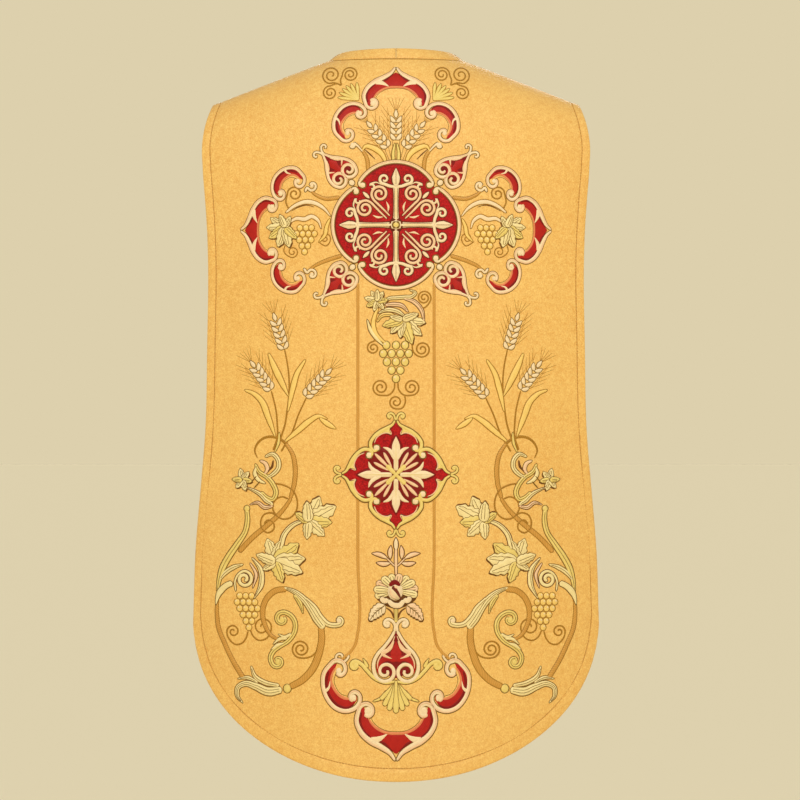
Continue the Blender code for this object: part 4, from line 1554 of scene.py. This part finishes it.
def evenly(path, pitch):
    """Points along a path at an even pitch, with its direction at each."""
    places = np.concatenate([[0.0], np.cumsum(np.hypot(*np.diff(path, axis=0).T))])
    at = np.arange(0.5 * pitch, places[-1], pitch)
    points = np.stack([np.interp(at, places, path[:, 0]), np.interp(at, places, path[:, 1])], axis=-1)
    ahead = np.gradient(points, axis=0)
    return points, ahead / np.linalg.norm(ahead, axis=1, keepdims=True)


def topstitch(piece, side):
    """A row of separate stitches, each a small crowned stroke, sunk at its ends."""
    points, ahead = evenly(stitch_path(side), TOPSTITCH_PITCH * MM)
    place, half_width, height = np.array(TOPSTITCH_STATIONS).T
    centre = points[:, None, :] / MM + ahead[:, None, :] * (0.5 * TOPSTITCH_LENGTH * place)[:, None]
    half = np.stack([-ahead[:, 1], ahead[:, 0]], axis=-1)[:, None, :] * half_width[:, None]
    lay(piece, centre * (1, -1), half * (1, -1), height, "fine")


def piece_mesh(name, thread, side):
    """Joins a piece's strokes in one mesh: profiles closed round, stations joined, ends capped."""
    points, faces, uvs, start = [], [], [], 0
    for flat, lift, uv in STROKES.pop(name):
        index = start + np.arange(lift.size).reshape(lift.shape)
        onward = np.roll(index, -1, axis=2)
        quads = np.stack([index[:, :-1], index[:, 1:], onward[:, 1:], onward[:, :-1]], axis=-1)
        faces += quads.reshape(-1, 4).tolist()
        faces += index[:, 0, ::-1].tolist() + index[:, -1].tolist()
        points.append(np.concatenate([flat, lift[..., None]], axis=-1).reshape(-1, 3))
        uvs.append(uv.reshape(-1, 2) * MM)
        start += lift.size
    across, down, height = np.concatenate(points).T
    x = across * MM
    placed = above_cloth(x, fall_at_height(x, -down * MM), side, height * MM)
    made = finish_mesh(name, placed, faces, uv=np.concatenate(uvs), materials=(THREADS[thread][0],))
    return made


def sew():
    """The embroidery and the sewing, one piece for each region and thread."""
    cross()
    medallion()
    column()
    side_vines()
    seam = [(across, NECK_SEAM_DOWN) for across in (-98, 0, 98)]
    Pen("neck", MIDDLE).stroke("tendril", seam, (0.6, 1.2, 1.5, 1.75, 1.8, 1.75, 1.5, 1.2, 0.6), 0.3)
    made = {}
    for name in sorted(STROKES):
        thread = name.split("_", 1)[1]
        made[name] = piece_mesh(name, thread, BACK)
    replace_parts(made["medallion_pale"], "medallion_rim")
    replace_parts(made["column_brown"], "column_braid_left", "column_braid_right")
    for name, side in (("back_topstitch", BACK), ("front_topstitch", FRONT)):
        topstitch(name, side)
        piece_mesh(name, "brown", side)


# Stage, light and camera

FLOOR_HEIGHT = -1.46
FLOOR_HALF_SIZE = 60.0
PHOTO_WIDTH = 1.208
CAMERA_DISTANCE = 7.0
CAMERA_HEIGHT = -0.5209
CAMERA_ACROSS = 0.006
MEASURED_PLANE = 0.055
SENSOR_WIDTH = 36.0
FLOOR_COLOUR = "#FFF0C8"
SKY_STRENGTH = 0.40
SUN_ENERGY = 1.28
SUN_PLACE = (0.0, -0.80, 0.68)
SUN_SOFTNESS = 24
FILL_ENERGY = 1.15
FILL_PLACE = (0.2, 0.95, 0.16)
FILL_SOFTNESS = 40
TOP_LAMP_ENERGY = 7.3
TOP_LAMP_SIZE = 0.9
TOP_LAMP_PLACE = (0.06, -1.75, 0.35)
TOP_LAMP_AIM = (0.02, -0.1, -0.30)
FAR_FLOOR_BRIGHTNESS = SKY_STRENGTH + (
    SUN_ENERGY * SUN_PLACE[2] / math.hypot(*SUN_PLACE)
    + FILL_ENERGY * FILL_PLACE[2] / math.hypot(*FILL_PLACE)
) / math.pi


def stage():
    """A pale floor that runs out to the horizon, under a sky that looks the same as the far floor."""
    size = FLOOR_HALF_SIZE
    points = np.array([(-size, -size, 0), (size, -size, 0), (size, size, 0), (-size, size, 0)], dtype=float)
    points[:, 2] = FLOOR_HEIGHT
    mesh = bpy.data.meshes.new("floor")
    mesh.from_pydata(points.tolist(), [], [(0, 1, 2, 3)])
    floor = bpy.data.objects.new("floor", mesh)
    bpy.context.scene.collection.objects.link(floor)
    finish, _, _ = new_material(
        "pale matt studio floor",
        {"Base Color": linear(FLOOR_COLOUR), "Roughness": 1.0, "Specular IOR Level": 0.0},
    )
    mesh.materials.append(finish)
    world = bpy.data.worlds.new("pale studio")
    world.use_nodes = True
    tree = world.node_tree
    lit = tree.nodes["Background"]
    lit.inputs["Color"].default_value = (1.0, 1.0, 1.0, 1.0)
    lit.inputs["Strength"].default_value = SKY_STRENGTH
    horizon = {"Color": linear(FLOOR_COLOUR), "Strength": FAR_FLOOR_BRIGHTNESS}
    seen = add(tree, "ShaderNodeBackground", horizon)
    ray = add(tree, "ShaderNodeLightPath")
    mix = add(tree, "ShaderNodeMixShader", links={"Fac": ray.outputs["Is Camera Ray"]})
    tree.links.new(lit.outputs[0], mix.inputs[1])
    tree.links.new(seen.outputs[0], mix.inputs[2])
    tree.links.new(mix.outputs[0], tree.nodes["World Output"].inputs["Surface"])
    bpy.context.scene.world = world


def aimed(data, name, place, aim):
    """A light that looks from one point to another."""
    made = bpy.data.objects.new(name, data)
    made.location = place
    made.rotation_euler = (Vector(aim) - Vector(place)).to_track_quat("-Z", "Y").to_euler()
    bpy.context.scene.collection.objects.link(made)
    return made


def light():
    """A broad soft key on the back, a soft lamp over its upper half, and a weaker fill on the front."""
    sun = bpy.data.lights.new("key", "SUN")
    sun.energy, sun.angle = SUN_ENERGY, math.radians(SUN_SOFTNESS)
    aimed(sun, "key", SUN_PLACE, (0, 0, 0))
    fill = bpy.data.lights.new("front fill", "SUN")
    fill.energy, fill.angle = FILL_ENERGY, math.radians(FILL_SOFTNESS)
    aimed(fill, "front fill", FILL_PLACE, (0, 0, 0))
    lamp = bpy.data.lights.new("top lamp", "AREA")
    lamp.energy, lamp.size = TOP_LAMP_ENERGY, TOP_LAMP_SIZE
    aimed(lamp, "top lamp", TOP_LAMP_PLACE, TOP_LAMP_AIM).visible_camera = False


def camera():
    """Square on to the back, from far enough that the cloth shows without perspective."""
    lens = bpy.data.cameras.new("camera")
    lens.sensor_width = SENSOR_WIDTH
    lens.lens = SENSOR_WIDTH * (CAMERA_DISTANCE - MEASURED_PLANE) / PHOTO_WIDTH
    made = bpy.data.objects.new("camera", lens)
    made.location = (CAMERA_ACROSS, -CAMERA_DISTANCE, CAMERA_HEIGHT)
    made.rotation_euler = (0.5 * math.pi, 0.0, 0.0)
    bpy.context.scene.collection.objects.link(made)
    bpy.context.scene.camera = made


def main():
    """The dressed garment, its stage, lights and camera."""
    bpy.context.scene.view_settings.view_transform = "Standard"
    back = cloth_panel("back_cloth", BACK)
    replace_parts(back, "back_panel")
    front = cloth_panel("front_cloth", FRONT)
    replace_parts(front, "front_panel")
    for word, hand in (("left", -1), ("right", 1)):
        band = neck_band(f"neck_band_cloth_{word}", hand)
        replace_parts(band, f"neck_band_{word}")
    sew()
    stage()
    light()
    camera()


main()
